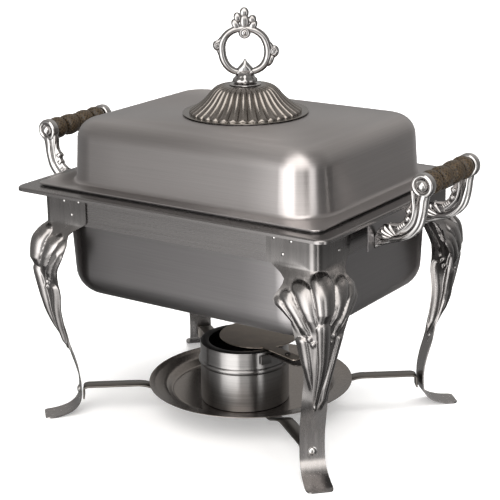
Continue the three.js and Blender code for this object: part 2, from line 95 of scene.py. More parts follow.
def colour_ramp(tree, source, stops):
    made = tree.nodes.new("ShaderNodeValToRGB")
    elements = made.color_ramp.elements
    while len(elements) < len(stops):
        elements.new(0.5)
    for element, (place, colour) in zip(elements, stops):
        element.position = place
        element.color = (*colour, 1)
    tree.links.new(source, made.inputs["Fac"])
    return made.outputs["Color"]


def bump(tree, shader, height, strength, distance):
    made = node(tree, "ShaderNodeBump")
    made.inputs["Strength"].default_value = strength
    made.inputs["Distance"].default_value = distance
    tree.links.new(height, made.inputs["Height"])
    tree.links.new(made.outputs["Normal"], shader.inputs["Normal"])
    return made


def steel(name, dark, light, roughness, stretch, aniso=0.0, grain=320.0, strength=0.03, spread=0.05):
    """Brushed or polished steel: streaks in colour and roughness along the brushing."""
    mat, tree, shader = new_material(name)
    shader.inputs["Metallic"].default_value = 1.0
    streaks = stretched_noise(tree, stretch, grain, 6.0, 0.65)
    cloud = stretched_noise(tree, (1, 1, 1), 9.0, 2.0)
    mix = node(tree, "ShaderNodeMath", operation="MULTIPLY_ADD")
    tree.links.new(cloud.outputs["Fac"], mix.inputs[0])
    mix.inputs[1].default_value = 0.35
    tree.links.new(ramp(tree, streaks.outputs["Fac"], 0.0, 0.65), mix.inputs[2])
    tree.links.new(colour_ramp(tree, mix.outputs["Value"], [(0.15, dark), (0.85, light)]),
                   shader.inputs["Base Color"])
    tree.links.new(ramp(tree, mix.outputs["Value"], roughness - spread, roughness + spread, 0.1, 0.9),
                   shader.inputs["Roughness"])
    if aniso:
        shader.inputs["Anisotropic"].default_value = aniso
        shader.inputs["Anisotropic Rotation"].default_value = 0.25
        tangent = node(tree, "ShaderNodeTangent", direction_type="RADIAL", axis="Z")
        tree.links.new(tangent.outputs["Tangent"], shader.inputs["Tangent"])
    bump(tree, shader, streaks.outputs["Fac"], strength, 0.0002)
    return mat


def painted_shade_above(mat, low, high, share):
    """Paint shade into a steel: fade it between two heights in mm, down to a share of its brightness."""
    tree = mat.node_tree
    base = tree.nodes["Principled BSDF"].inputs["Base Color"]
    colour = base.links[0].from_socket
    coords = tree.nodes.new("ShaderNodeTexCoord")
    split = tree.nodes.new("ShaderNodeSeparateXYZ")
    tree.links.new(coords.outputs["Object"], split.inputs["Vector"])
    scaled = node(tree, "ShaderNodeVectorMath", operation="SCALE")
    tree.links.new(colour, scaled.inputs[0])
    tree.links.new(ramp(tree, split.outputs["Z"], 1.0, share, low * MM, high * MM), scaled.inputs["Scale"])
    tree.links.new(scaled.outputs["Vector"], base)


ALONG = (0.03, 0.03, 3.0)  # long in plan, fine in height: brushed round the walls
LID_STEEL = steel("lid_steel", (0.40, 0.378, 0.372), (0.46, 0.437, 0.43), 0.34, ALONG, aniso=0.85,
                  strength=0.02, spread=0.03)
PAN_STEEL = steel("pan_steel", (0.30, 0.288, 0.292), (0.345, 0.333, 0.333), 0.36, ALONG, aniso=0.8,
                  strength=0.02, spread=0.03)
RIM_STEEL = steel("rim_steel", (0.23, 0.22, 0.218), (0.275, 0.262, 0.258), 0.27, ALONG, aniso=0.4,
                  strength=0.02, spread=0.04)
LEG_STEEL = steel("leg_steel", (0.28, 0.268, 0.262), (0.36, 0.344, 0.337), 0.26, (1, 1, 0.05), grain=200,
                  strength=0.012, spread=0.03)
painted_shade_above(LEG_STEEL, 206, 240, 0.54)  # painted shade: the leg colour darkens from 206 mm up to 240 mm, over the flat bracket
STRAP_STEEL = steel("strap_steel", (0.15, 0.138, 0.126), (0.20, 0.185, 0.168), 0.36, (1, 1, 1), grain=60)
TRAY_STEEL = steel("tray_steel", (0.20, 0.18, 0.165), (0.27, 0.245, 0.225), 0.22, (1, 1, 1), grain=320,
                   strength=0.02, spread=0.02)
BURNER_STEEL = steel("burner_steel", (0.26, 0.253, 0.249), (0.34, 0.331, 0.327), 0.30, (0.03, 0.03, 3.0),
                     aniso=0.95, strength=0.02, spread=0.03)
DAMPER_STEEL = steel("damper_steel", (0.36, 0.315, 0.27), (0.62, 0.545, 0.47), 0.40, (1, 1, 1), grain=26,
                     spread=0.1)
DARK_STEEL = steel("dark_steel", (0.045, 0.04, 0.038), (0.10, 0.09, 0.085), 0.42, (1, 1, 1), grain=40)
# painted shade: near-black steel for the insides of the cup and sleeve
INSIDE_SHADE_STEEL = steel("painted_shade_steel", (0.03, 0.03, 0.032), (0.085, 0.082, 0.08), 0.45, (1, 1, 1), grain=30)
CAST = steel("cast_metal", (0.40, 0.388, 0.38), (0.52, 0.507, 0.50), 0.10, (1, 1, 1), grain=90,
             strength=0.04, spread=0.03)
FINIAL_CAST = steel("finial_metal", (0.26, 0.25, 0.245), (0.42, 0.41, 0.405), 0.07, (1, 1, 1), grain=120,
                    strength=0.05, spread=0.02)
DOME_STEEL = steel("dome_steel", (0.21, 0.192, 0.175), (0.28, 0.258, 0.235), 0.22, (1, 1, 0.1), grain=200,
                   strength=0.01, spread=0.03)


def grip_wood():
    """Dark turned wood, cut with a fine diamond pattern."""
    mat, tree, shader = new_material("grip_wood")
    grain = stretched_noise(tree, (1.0, 0.15, 1.0), 180.0, 6.0, 0.7)
    coords = tree.nodes.new("ShaderNodeTexCoord")
    split = tree.nodes.new("ShaderNodeSeparateXYZ")
    tree.links.new(coords.outputs["UV"], split.inputs["Vector"])

    def wave(sign):
        turn = node(tree, "ShaderNodeMath", operation="MULTIPLY_ADD")
        turn.inputs[1].default_value = sign * 16.0
        along = node(tree, "ShaderNodeMath", operation="MULTIPLY")
        along.inputs[1].default_value = 18.0
        tree.links.new(split.outputs["Y"], along.inputs[0])
        tree.links.new(split.outputs["X"], turn.inputs[0])
        tree.links.new(along.outputs["Value"], turn.inputs[2])
        whole = node(tree, "ShaderNodeMath", operation="PINGPONG")
        whole.inputs[1].default_value = 0.5
        tree.links.new(turn.outputs["Value"], whole.inputs[0])
        return whole.outputs["Value"]

    cuts = node(tree, "ShaderNodeMath", operation="MINIMUM")
    tree.links.new(wave(1), cuts.inputs[0])
    tree.links.new(wave(-1), cuts.inputs[1])
    depth = ramp(tree, cuts.outputs["Value"], 0.0, 1.0, 0.0, 0.09)
    wood = colour_ramp(tree, grain.outputs["Fac"],
                       [(0.30, (0.006, 0.004, 0.002)), (0.55, (0.020, 0.012, 0.006)),
                        (0.75, (0.055, 0.034, 0.016))])
    mixed = node(tree, "ShaderNodeMix", data_type="RGBA")
    tree.links.new(depth, mixed.inputs["Factor"])
    mixed.inputs[6].default_value = (0.11, 0.076, 0.036, 1)
    tree.links.new(wood, mixed.inputs[7])
    tree.links.new(mixed.outputs[2], shader.inputs["Base Color"])
    tree.links.new(ramp(tree, grain.outputs["Fac"], 0.32, 0.5), shader.inputs["Roughness"])
    bump(tree, shader, depth, 0.5, 0.0005)
    return mat


WOOD = grip_wood()


# ---------- mesh helpers ----------
def piece(name, verts, faces, material, body, stands_for=(), sharp=35, uvs=None):
    """A mesh piece from millimetre vertices, riding on a body."""
    mesh = bpy.data.meshes.new(name)
    mesh.from_pydata([tuple(v) for v in np.asarray(verts) * MM], [], [tuple(f) for f in faces])
    mesh.validate()
    mesh.update()
    if uvs is not None:
        layer = mesh.uv_layers.new(name="UVMap")
        for loop in mesh.loops:
            layer.data[loop.index].uv = uvs[loop.vertex_index]
    mesh.shade_smooth()
    mesh.set_sharp_from_angle(angle=math.radians(sharp))
    obj = add_object(name, mesh)
    mesh.materials.append(material)
    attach(obj, body)
    if stands_for:
        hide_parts(*stands_for)
    return obj


def flip_if_inward(verts, faces):
    v = np.asarray(verts, float)
    total = 0.0
    for f in faces:
        for i in range(1, len(f) - 1):
            total += v[f[0]] @ np.cross(v[f[i]], v[f[i + 1]])
    return [f[::-1] for f in faces] if total < 0 else faces


def skin(loops, ring=False):
    """Faces over loops of equally many points; returns vertices and faces."""
    count = len(loops[0])
    verts = np.concatenate([np.asarray(l, float) for l in loops])
    faces = []
    spans = len(loops) if ring else len(loops) - 1
    for i in range(spans):
        a, b = i * count, ((i + 1) % len(loops)) * count
        for j in range(count):
            k = (j + 1) % count
            faces.append((a + j, a + k, b + k, b + j))
    if not ring:
        faces.append(tuple(range(count))[::-1])
        faces.append(tuple((len(loops) - 1) * count + j for j in range(count)))
    return verts, flip_if_inward(verts, faces)


def rounded(points, radius, steps=3, closed=False):
    """The polyline with each corner replaced by a small arc."""
    pts = [np.array(p, float) for p in points]
    n = len(pts)
    out = []
    for i, p in enumerate(pts):
        if not closed and i in (0, n - 1):
            out.append(p)
            continue
        a, b = pts[i - 1] - p, pts[(i + 1) % n] - p
        la, lb = np.linalg.norm(a), np.linalg.norm(b)
        r = radius[i] if isinstance(radius, (list, tuple)) else radius
        cut = min(r, 0.45 * la, 0.45 * lb)
        if cut < 1e-3:
            out.append(p)
            continue
        s, e = p + a / la * cut, p + b / lb * cut
        for k in range(steps + 1):
            t = k / steps
            out.append((1 - t) ** 2 * s + 2 * t * (1 - t) * p + t ** 2 * e)
    return out


def smooth(points, per=6, closed=False):
    """Catmull-Rom curve through the points."""
    pts = np.asarray(points, float)
    n = len(pts)
    out = []
    for i in range(n if closed else n - 1):
        p = [pts[(i + k) % n] if closed else pts[min(max(i + k, 0), n - 1)] for k in (-1, 0, 1, 2)]
        for k in range(per):
            t = k / per
            out.append(0.5 * (2 * p[1] + (p[2] - p[0]) * t + (2 * p[0] - 5 * p[1] + 4 * p[2] - p[3]) * t * t
                              + (3 * p[1] - 3 * p[2] + p[3] - p[0]) * t ** 3))
    if not closed:
        out.append(pts[-1])
    return np.array(out)


def lathe(profile, segments=96, closed=None, centre=(0, 0), shape=None):
    """A turned piece about Z from (radius, height) pairs; shape(angle, r, z) may change r and z.

    A profile that starts on the axis stays open, and any other is joined into a ring."""
    closed = profile[0][0] > 1e-6 if closed is None else closed
    verts, faces = [], []
    rows = []
    for r, z in profile:
        if r < 1e-6:
            rows.append([len(verts)])
            verts.append((centre[0], centre[1], z))
            continue
        row = []
        for j in range(segments):
            angle = TAU * j / segments
            rr, zz = shape(angle, r, z) if shape else (r, z)
            row.append(len(verts))
            verts.append((centre[0] + rr * math.cos(angle), centre[1] + rr * math.sin(angle), zz))
        rows.append(row)
    pairs = list(zip(rows, rows[1:])) + ([(rows[-1], rows[0])] if closed else [])
    for a, b in pairs:
        for j in range(segments):
            k = (j + 1) % segments
            if len(a) == 1 and len(b) == 1:
                break
            if len(a) == 1:
                faces.append((a[0], b[k], b[j]))
            elif len(b) == 1:
                faces.append((a[j], a[k], b[0]))
            else:
                faces.append((a[j], a[k], b[k], b[j]))
    return np.array(verts), flip_if_inward(verts, faces)


def rounded_loop(w, d, r, z, steps=12, straight=6):
    """Rounded rectangle, counter-clockwise."""
    points = []
    r = min(max(r, 0.2), w / 2 - 0.1, d / 2 - 0.1)
    for sx, sy, start in ((1, 1, 0), (-1, 1, 90), (-1, -1, 180), (1, -1, 270)):
        for i in range(steps + 1):
            angle = math.radians(start + 90 * i / steps)
            points.append((sx * (w / 2 - r) + r * math.cos(angle), sy * (d / 2 - r) + r * math.sin(angle),
                           z))
    full = []
    for i, p in enumerate(points):
        full.append(p)
        if (i + 1) % (steps + 1) == 0:
            q = points[(i + 1) % len(points)]
            full += [tuple(np.array(p) + (np.array(q) - np.array(p)) * k / straight) for k in range(1,
                                                                                                    straight)]
    return full


def tube(path, radii, segments=16, squash=None, up=(0, 0, 1)):
    """A round bar along a path; radii is one number or one for each point."""
    path = np.asarray(path, float)
    n = len(path)
    radii = np.full(n, radii, float) if np.isscalar(radii) else np.asarray(radii, float)
    tangents = np.gradient(path, axis=0)
    tangents /= np.linalg.norm(tangents, axis=1)[:, None]
    side = np.cross(np.asarray(up, float), tangents[0])
    if np.linalg.norm(side) < 1e-4:
        side = np.cross((1, 0, 0), tangents[0])
    loops = []
    for i in range(n):
        side = side - tangents[i] * (side @ tangents[i])
        side /= np.linalg.norm(side)
        other = np.cross(tangents[i], side)
        wide, tall = squash or (1, 1)
        loops.append([path[i] + radii[i] * (wide * math.cos(a) * side + tall * math.sin(a) * other)
                      for a in np.linspace(0, TAU, segments, endpoint=False)])
    return skin(loops)


def blob(centre, radii, rings=10, segments=14, turn=0.0, crease=None):
    """An egg-shaped lump; turn rotates it in the XZ plane, in degrees."""
    verts, faces = [], []
    c, s = math.cos(math.radians(turn)), math.sin(math.radians(turn))
    for i in range(rings + 1):
        phi = math.pi * i / rings
        for j in range(segments):
            theta = TAU * j / segments
            k = 1.0 if crease is None else crease(phi, theta)
            x, y, z = (radii[0] * math.sin(phi) * math.cos(theta) * k,
                       radii[1] * math.sin(phi) * math.sin(theta) * k, radii[2] * math.cos(phi))
            verts.append((centre[0] + x * c + z * s, centre[1] + y, centre[2] - x * s + z * c))
    for i in range(rings):
        for j in range(segments):
            k = (j + 1) % segments
            faces.append((i * segments + j, (i + 1) * segments + j, (i + 1) * segments + k,
                          i * segments + k))
    return np.array(verts), flip_if_inward(verts, faces)


def merge(parts):
    verts, faces, base = [], [], 0
    for v, f in parts:
        verts.append(np.asarray(v, float))
        faces += [tuple(i + base for i in face) for face in f]
        base += len(v)
    return np.concatenate(verts), faces


def moved(part, matrix):
    verts, faces = part
    m = np.array(matrix)
    out = np.asarray(verts) @ m[:3, :3].T + m[:3, 3]
    if np.linalg.det(m[:3, :3]) < 0:
        faces = [f[::-1] for f in faces]
    return out, faces


def place(x, y, z, toward):
    """Matrix that points +Z toward a direction, then moves to the place."""
    return Matrix.Translation((x, y, z)) @ Vector(toward).to_track_quat("Z", "Y").to_matrix().to_4x4()


def turned_about(v, centre, degrees):
    """Points turned about an upright line."""
    c, s = math.cos(math.radians(degrees)), math.sin(math.radians(degrees))
    x, y = v[:, 0] - centre[0], v[:, 1] - centre[1]
    return np.column_stack([centre[0] + x * c - y * s, centre[1] + x * s + y * c, v[:, 2]])


def upright(points):
    """(x, z) points as points of the plane y = 0."""
    points = np.asarray(points, float)
    return np.column_stack([points[:, 0], np.zeros(len(points)), points[:, 1]])


def inset_loop(size, inset, z):
    """Rounded rectangle of (width, depth, corner radius), drawn in by the inset on every side."""
    w, d, r = size
    return rounded_loop(w - 2 * inset, d - 2 * inset, r - inset, z)


# ---------- dimensions shared with the frame ----------
GAP = 0.3
SHEET = 0.8
RIM_TOP = 260
BRACKET = (170.7, 131.0)
APRON_BOTTOM = 222
WATER_TOP = RIM_TOP + GAP + SHEET
FOOD_TOP = WATER_TOP + GAP + SHEET
LID_TOP = 331.3
CORNERS = {"front_left": (-1, -1), "front_right": (1, -1), "back_left": (-1, 1), "back_right": (1, 1)}


def box_mm(name):
    low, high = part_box(name)
    return np.array(low) / MM, np.array(high) / MM


# ---------- rim and apron ----------
def top_frame():
    apron = (2 * (BRACKET[0] - 1.9), 2 * (BRACKET[1] - 1.9), 12)
    rim = (383.5, 304.2, 12)
    section = [(apron, 0, APRON_BOTTOM), (apron, 0, 258.8), (rim, 1.2, 258.8), (rim, 1.2, 256),
               (rim, 0, 256),
               (rim, 0, 258.4), (rim, 0.35, 259.3), (rim, 1.2, 259.9), (rim, 2.4, 260),
               (apron, 1.2, 260), (apron, 1.2, APRON_BOTTOM)]
    loops = [inset_loop(size, inset, z) for size, inset, z in section]
    v, f = skin(loops, ring=True)
    piece("rim_and_apron", v, f, RIM_STEEL, "stand", ["top_frame"], sharp=40)


# ---------- pans and lid ----------
def drawn_pan(name, body, flange, top, bottom, fillet, draft, material, ride):
    arc = [math.radians(a) for a in np.linspace(0, 90, 10)]
    foot = bottom + fillet
    outer = [(draft + fillet * (1 - math.cos(a)), foot - fillet * math.sin(a)) for a in arc]
    inner = [(draft + SHEET + (fillet - SHEET) * (1 - math.cos(a)),
              foot - (fillet - SHEET) * math.sin(a)) for a in arc]
    section = [(body, i, z) for i, z in reversed(inner)]
    section += [(body, SHEET + 0.1, top - 1.2), (body, SHEET - 0.2, top - 0.3), (body, SHEET - 0.7, top)]
    section += [(flange, 0.3, top), (flange, 0, top - 0.25), (flange, 0, top - SHEET + 0.2)]
    section += [(flange, 0.2, top - SHEET), (body, -0.1, top - SHEET), (body, 0.02, top - SHEET - 0.5)]
    section += [(body, i, z) for i, z in outer]
    v, f = skin([inset_loop(size, i, z) for size, i, z in section])
    piece(name, v, f, material, ride, [name.replace("_shell", "")], sharp=40)


def lid_shell():
    body = (312, 233, 40)
    flange = (350, 271, 9)
    arc = np.radians(np.linspace(0, 90, 14))

    def loops(under):
        """Outer surface of the lid, moved in by a sheet's thickness for the inner one."""
        edge = FOOD_TOP + GAP + SHEET - under
        skirt = [(0.1, RIM_TOP + 2.0), (0, edge - 0.6), (0.3, edge - 0.1), (1.0, edge)]
        root = [(-6.2, edge), (-4.2, edge - 0.05), (-2.6, edge + 0.5), (-1.2, edge + 1.9), (-0.5, edge + 4)]
        out = [inset_loop(flange, inset + under, z) for inset, z in skirt]
        out += [inset_loop(body, inset + under, z) for inset, z in root]
        shoulder = 22 - under
        for a in arc:
            inset = 2 + shoulder * (1 - math.cos(a)) + under
            out.append(inset_loop(body, inset, 306 + shoulder * math.sin(a)))
        top = LID_TOP - under
        for k in range(1, 9):  # the crowned top closes in on the finial
            t = k / 8
            w = (1 - t) * 258 + t * 142
            d = (1 - t) * 180 + t * 142
            r = (1 - t) * 18 + t * 70.9
            rise = 328 - under + (top - 328 + under) * (1 - (1 - t) ** 2)
            out.append(rounded_loop(w - 2 * under * (1 - t), d - 2 * under * (1 - t), r, rise))
        out.append(rounded_loop(5.6, 5.6, 2.79, top))
        return out

    v, f = skin(loops(0) + loops(SHEET)[::-1], ring=True)
    piece("lid_shell", v, f, LID_STEEL, "lid", ["lid"], sharp=42)


# ---------- legs ----------
# out, z, half width, fold and tilt in degrees of each station down the leg, as in the frame
STATIONS = np.array([
    (-3.8, 258.4, 41, 1, 0), (-3.8, 227, 41, 1, 0), (-3.2, 220, 35, 0.97, 0), (2.4, 212.5, 31.5, 0.88, 0),
    (7.4, 206, 34, 0.8, 0), (10, 199, 38.5, 0.72, 0), (11.3, 190, 43, 0.64, 0), (11.8, 178, 37, 0.64, 0),
    (11.3, 167, 30, 0.7, 0), (9.7, 157, 28.5, 0.75, 0), (6.6, 142, 22, 0.8, -5), (2.5, 124, 17.5, 0.8, -12),
    (-3.8, 107, 14.5, 0.7, -18), (-10.6, 92.5, 13.7, 0.45, -18), (-18, 76, 13.3, 0.08, -16),
    (-24.5, 57, 12.9, 0, -12),
    (-27.6, 40, 12.7, 0, 0), (-27.4, 22.5, 12.8, 0, 9), (-24, 13.5, 13, 0, 35), (-16.5, 7, 13.3, 0, 56),
    (-6, 3.2, 13.6, 0, 75), (3, 1.6, 13.8, 0, 90), (11.6, 1.6, 12.5, 0, 90)])
# outline of the stamped shell as (z, t): left and right of the middle
EDGE_LEFT = [(258.4, 41.3), (228, 41.3), (225, 40.3), (220, 34.8), (216, 30.6), (211.5, 28.4), (207, 31),
             (202.7, 34.6),
             (197, 38.6), (193.6, 40.4), (189.4, 39), (182.9, 32.8), (173.8, 25.6), (167.4, 24.2),
             (161, 22.6), (156.3, 21.8),
             (149, 19.9), (138.4, 17.9), (127.8, 15.5), (120, 13.0), (105.5, 12.1), (84.6, 12.6),
             (64.1, 12.8)]
EDGE_RIGHT = [(258.4, 41.3), (228, 41.3), (225, 40.3), (220, 35.6), (216, 33), (211.5, 32.4), (207, 36.5),
              (202.7, 40),
              (197, 41.6), (191.4, 42.2), (187, 40.8), (182.3, 38.2), (171.9, 32), (163.8, 29.4),
              (157, 27.6), (152, 27.1),
              (142.7, 25.2), (126.3, 20.6), (114.6, 17.6), (95.9, 14.2), (77.6, 13.3), (61.3, 13)]
# lobes of the shell: rows of (z, middle t, half width), from the tip down
LOBES = [
    (6.5, [(220, 2.6, 10.2), (205, 4.6, 10.6), (190, 5.2, 9.6), (178, 4.2, 7.4), (171, 3.2, 6.2)]),
    (5.0, [(213, -15, 7.5), (205, -14.5, 8.3), (190, -11.5, 7.3), (178, -8.3, 5.5), (165, -4.6, 3.0)]),
    (4.2, [(203.4, -27.3, 5.6), (197, -27.5, 5.7), (189, -24.4, 6.0), (178, -19, 5.2), (167, -14, 4.4),
           (158, -11, 2.6)]),
    (3.4, [(196, -36, 4.0), (190, -35, 4.2), (183, -30.4, 3.6), (174, -24.4, 2.4), (164, -19.5, 1.6)]),
    (5.0, [(212.4, 24, 7.6), (204, 24, 8.1), (195, 23.3, 7.7), (185, 19.7, 6.0), (177, 16.6, 5.4),
           (165, 11.2, 3.0)]),
    (4.2, [(208.6, 36.4, 5.0), (200, 36, 4.8), (190, 33, 4.6), (180, 27.4, 4.2), (170, 21.4, 4.0),
           (158, 15.6, 2.4)]),
    (3.2, [(196, 41, 2.6), (188, 39.4, 3.0), (180, 34.4, 3.2), (170, 28.6, 3.0), (160, 23.6, 2.2)]),
    (3.6, [(175.6, 2.4, 7.2), (170, 2.6, 7.2), (163, 3.6, 7.0), (151, 4.0, 6.6), (132, 4.2, 5.2),
           (112, 2.8, 3.8), (96, 1.0, 2.0), (80, 0, 0.8)]),
    (3.8, [(158.6, -16.4, 5.2), (150, -15, 5.4), (138, -12.7, 5.0), (128, -10.8, 4.4), (118, -8.6, 3.3),
           (100, -5.4, 1.6)]),
    (3.8, [(156, 22.6, 3.6), (149, 22.2, 4.2), (138, 19.6, 4.4), (126, 16.4, 4.4), (114, 13.4, 4.2),
           (100, 10, 4.0), (86, 7.8, 3.4), (76, 5, 2.2)]),
]
# small beads: t, z, radius, height
NUBS = [(-9.4, 157.5, 2.6, 2.0), (-6.2, 152.5, 2.2, 1.7), (-11.5, 163.5, 2.0, 1.4), (15.2, 158, 2.4, 1.9),
        (18.5, 162.5, 2.0, 1.4),
        (12.6, 152, 2.0, 1.5), (0.4, 77.5, 1.5, 1.0)]
# swellings under the bracket: t, z, half width, half height, height
SHOULDERS = [(-22, 218.4, 17, 8.0, 1.5), (24, 218.0, 16, 7.6, 1.1)]


FOLD_RADIUS = 9.2
LEG_SHEET = 1.45


def lobe_height(t, z, tall, rows):
    rows = sorted(rows)
    zs = [r[0] for r in rows]
    low, tip = zs[0], zs[-1]
    if z > tip or z < low - 2:
        return 0.0
    middle = np.interp(z, zs, [r[1] for r in rows])
    half = np.interp(z, zs, [r[2] for r in rows])
    widest = max(r[2] for r in rows)
    across = (t - middle) / half
    if abs(across) >= 1:
        return 0.0
    cap = rows[-1][2]
    along = max(0.0, (z - (tip - cap)) / cap)
    left = 1 - across * across - along * along
    if left <= 0:
        return 0.0
    tail = min(1.0, max(0.0, (z - low + 2) / 14))
    height = tall * min(1.0, half / (0.8 * widest)) * math.sqrt(left) * tail
    if tip > 180:  # the hollow just inside the arch of each upper lobe
        hollow = math.exp(-((z - (tip - 0.62 * cap)) / (0.34 * cap)) ** 2) * max(0.0,
                                                                                 1 - (across * 1.15) ** 2)
        height -= 0.10 * tall * hollow
    return height


def relief(t, z):
    if z > 226.5 or z < 72:
        return 0.0
    height = max(lobe_height(t, z, tall, rows) for tall, rows in LOBES)
    for nt, nz, wide, high, tall in SHOULDERS:
        left = 1 - ((t - nt) / wide) ** 2 - ((z - nz) / high) ** 2
        if left > 0:
            height = max(height, tall * left)
    for nt, nz, radius, tall in NUBS:
        left = 1 - ((t - nt) / radius) ** 2 - ((z - nz) / (radius * 1.3)) ** 2
        if left > 0:
            height = max(height, tall * math.sqrt(left) + 0.8)
    return height


def leg_shell():
    """Outer surface of one leg in (t, s, z), and the half loops that close it at the back."""
    fine = smooth(STATIONS, per=16)
    keep = [fine[0]]
    for row in fine[1:]:
        step = math.hypot(row[0] - keep[-1][0], row[1] - keep[-1][1])
        if step > (2.2 if row[1] > 226 else 0.62):
            keep.append(row)
    keep.append(fine[-1])
    rows = np.array(keep)
    left = np.array(sorted(EDGE_LEFT))
    right = np.array(sorted(EDGE_RIGHT))
    across = np.linspace(-1, 1, 131)

    def widths(z, half):
        return (np.interp(z, left[:, 0], left[:, 1]), np.interp(z, right[:, 0],
                                                                right[:, 1])) if z > 62 else (half, half)

    stamped = np.array([[relief(u * (w[0] if u < 0 else w[1]), row[1]) * (1 - abs(u) ** 8) for u in across]
                        for row in rows for w in [widths(row[1], row[2])]])
    for _ in range(2):  # softened like pressed sheet
        wide = np.pad(stamped, 1, mode="edge")
        stamped = (wide[:-2, 1:-1] + wide[2:, 1:-1] + wide[1:-1, :-2] + wide[1:-1, 2:] + 2 * wide[1:-1,
                                                                                                  1:-1]) / 6
    outer, inner = [], []
    for index, (out, z, half, fold, tilt) in enumerate(rows):
        fold = max(fold, 0.0)
        tl, tr = widths(z, half)
        if z <= 1.7:  # rounded toe
            reach = max(0.0, (out - 6.0) / 5.6)
            tl = tr = half * math.sqrt(max(0.0, 1 - 0.42 * reach ** 3))
        level, rise = math.cos(math.radians(tilt)), math.sin(math.radians(tilt))
        bend = math.atan(fold)
        edge = FOLD_RADIUS * math.sin(bend)
        o_row, i_row = [], []
        for column, u in enumerate(across):
            t = tl * u if u < 0 else tr * u
            reach = abs(t)
            if reach < edge:
                back = FOLD_RADIUS - math.sqrt(FOLD_RADIUS ** 2 - t * t)
                slope = math.copysign(math.tan(math.asin(reach / FOLD_RADIUS)), t)
            else:
                back = fold * (reach - edge) + FOLD_RADIUS * (1 - math.cos(bend))
                slope = math.copysign(fold, t) if t else 0
            length = math.hypot(1, slope)
            bulge = stamped[index, column]
            for row, lift in ((o_row, bulge), (i_row, bulge - LEG_SHEET)):  # along the wing's own normal
                row.append((t + slope / length * lift, out - back * level + lift / length * level,
                            z - back * rise + lift * rise))
        outer.append(o_row)
        inner.append(i_row)
    return np.array(outer), np.array(inner)


def legs():
    outer, inner = leg_shell()
    loops = [np.concatenate([o, i[::-1]]) for o, i in zip(outer, inner)]
    verts, faces = skin(loops)
    t, s, z = verts[:, 0], verts[:, 1], verts[:, 2]
    z = np.maximum(z, 0.02)
    root = math.sqrt(0.5)
    x = BRACKET[0] + (s + t) * root
    y = -(BRACKET[1] + (s - t) * root)
    base = np.column_stack([x, y, z])
    for name, (sx, sy) in CORNERS.items():
        turn = {(1, -1): 0, (1, 1): 90, (-1, 1): 180, (-1, -1): 270}[(sx, sy)]
        local = base - np.array([BRACKET[0], -BRACKET[1], 0])
        here = turned_about(local, (0, 0), turn) + np.array([sx * BRACKET[0], sy * BRACKET[1], 0])
        low, high = box_mm("leg_" + name)
        here = np.clip(here, low, high)
        piece("leg_shell_" + name, here, faces, LEG_STEEL, "stand", ["leg_" + name], sharp=50)


def dome_head(radius, height):
    profile = [(radius * math.cos(a), height * math.sin(a)) for a in np.radians(np.linspace(0, 90, 9))]
    profile[-1] = (0, height)
    return lathe([(0, 0), *profile], 24)


def rivets():
    head = dome_head(1.9, 1.0)
    for name, (sx, sy) in CORNERS.items():
        for side in ("long", "end"):
            for i, (along, z) in enumerate([(49, 248), (39, 233), (29.5, 247)]):
                if side == "long":
                    where = place(sx * (BRACKET[0] - along), sy * (BRACKET[1] + 0.02), z, (0, sy, 0))
                else:
                    where = place(sx * (BRACKET[0] + 0.02), sy * (BRACKET[1] - along), z, (sx, 0, 0))
                v, f = moved(head, where)
                stands = [f"rivet_{name}_{side}_{i + 1}"] if i < 2 else []
                piece(f"rivet_head_{name}_{side}_{i + 1}", v, f, CAST, "stand", stands)


def strap_screws():
    for name, (sx, sy) in CORNERS.items():
        s = (GAP - 27.5) * math.sqrt(0.5)
        flange = lathe([(0, -0.2), (4.9, -0.2), (4.9, 0.3), (4.0, 0.6), (0, 0.6)], 28)
        v, f = moved(merge([dome_head(4.2, 2.4), flange]),
                     place(sx * (BRACKET[0] + s), sy * (BRACKET[1] + s), 27.2, (sx, sy, 0)))
        piece("strap_screw_head_" + name, v, f, CAST, "stand", ["strap_screw_" + name])


# ---------- straps and tray ----------
STRAP_THICK = 1.8


def straps():
    inside = math.hypot(*BRACKET) - 31.3
    turn = math.atan2(BRACKET[1], BRACKET[0])
    for i, (side, drop) in enumerate([(1, 0), (-1, 2.1)]):
        half = [(0, 20.6 - drop), (26, 20.6 - drop), (84, 21.6 - drop * 0.5), (101, 27.6), (117, 33.4),
                (inside - 5, 33.4), (inside - 0.2, 31.5), (inside + 0.1, 19)]
        line = np.array(rounded([(-x, z) for x, z in half[:0:-1]] + half, 9, 5))
        direction = np.gradient(line, axis=0)
        direction /= np.linalg.norm(direction, axis=1)[:, None]
        normal = np.column_stack([direction[:, 1], -direction[:, 0]])
        loops = []
        for p, n in zip(line, normal):
            q = p + n * STRAP_THICK
            ring = [np.array((end[0], y, end[1])) for y, end in ((-8, p), (8, p), (8, q), (-8, q))]
            loop = []
            for k in range(4):  # each corner is cut off
                for other in (ring[k - 1], ring[(k + 1) % 4]):
                    loop.append(ring[k] + (other - ring[k]) / np.linalg.norm(other - ring[k]) * 0.4)
            loops.append(loop)
        v, f = skin(loops)
        v = turned_about(v, (0, 0), math.degrees(side * turn))
        piece(f"strap_{i + 1}", v, f, STRAP_STEEL, "stand", [f"cross_strap_{i + 1}"],
              sharp=50)


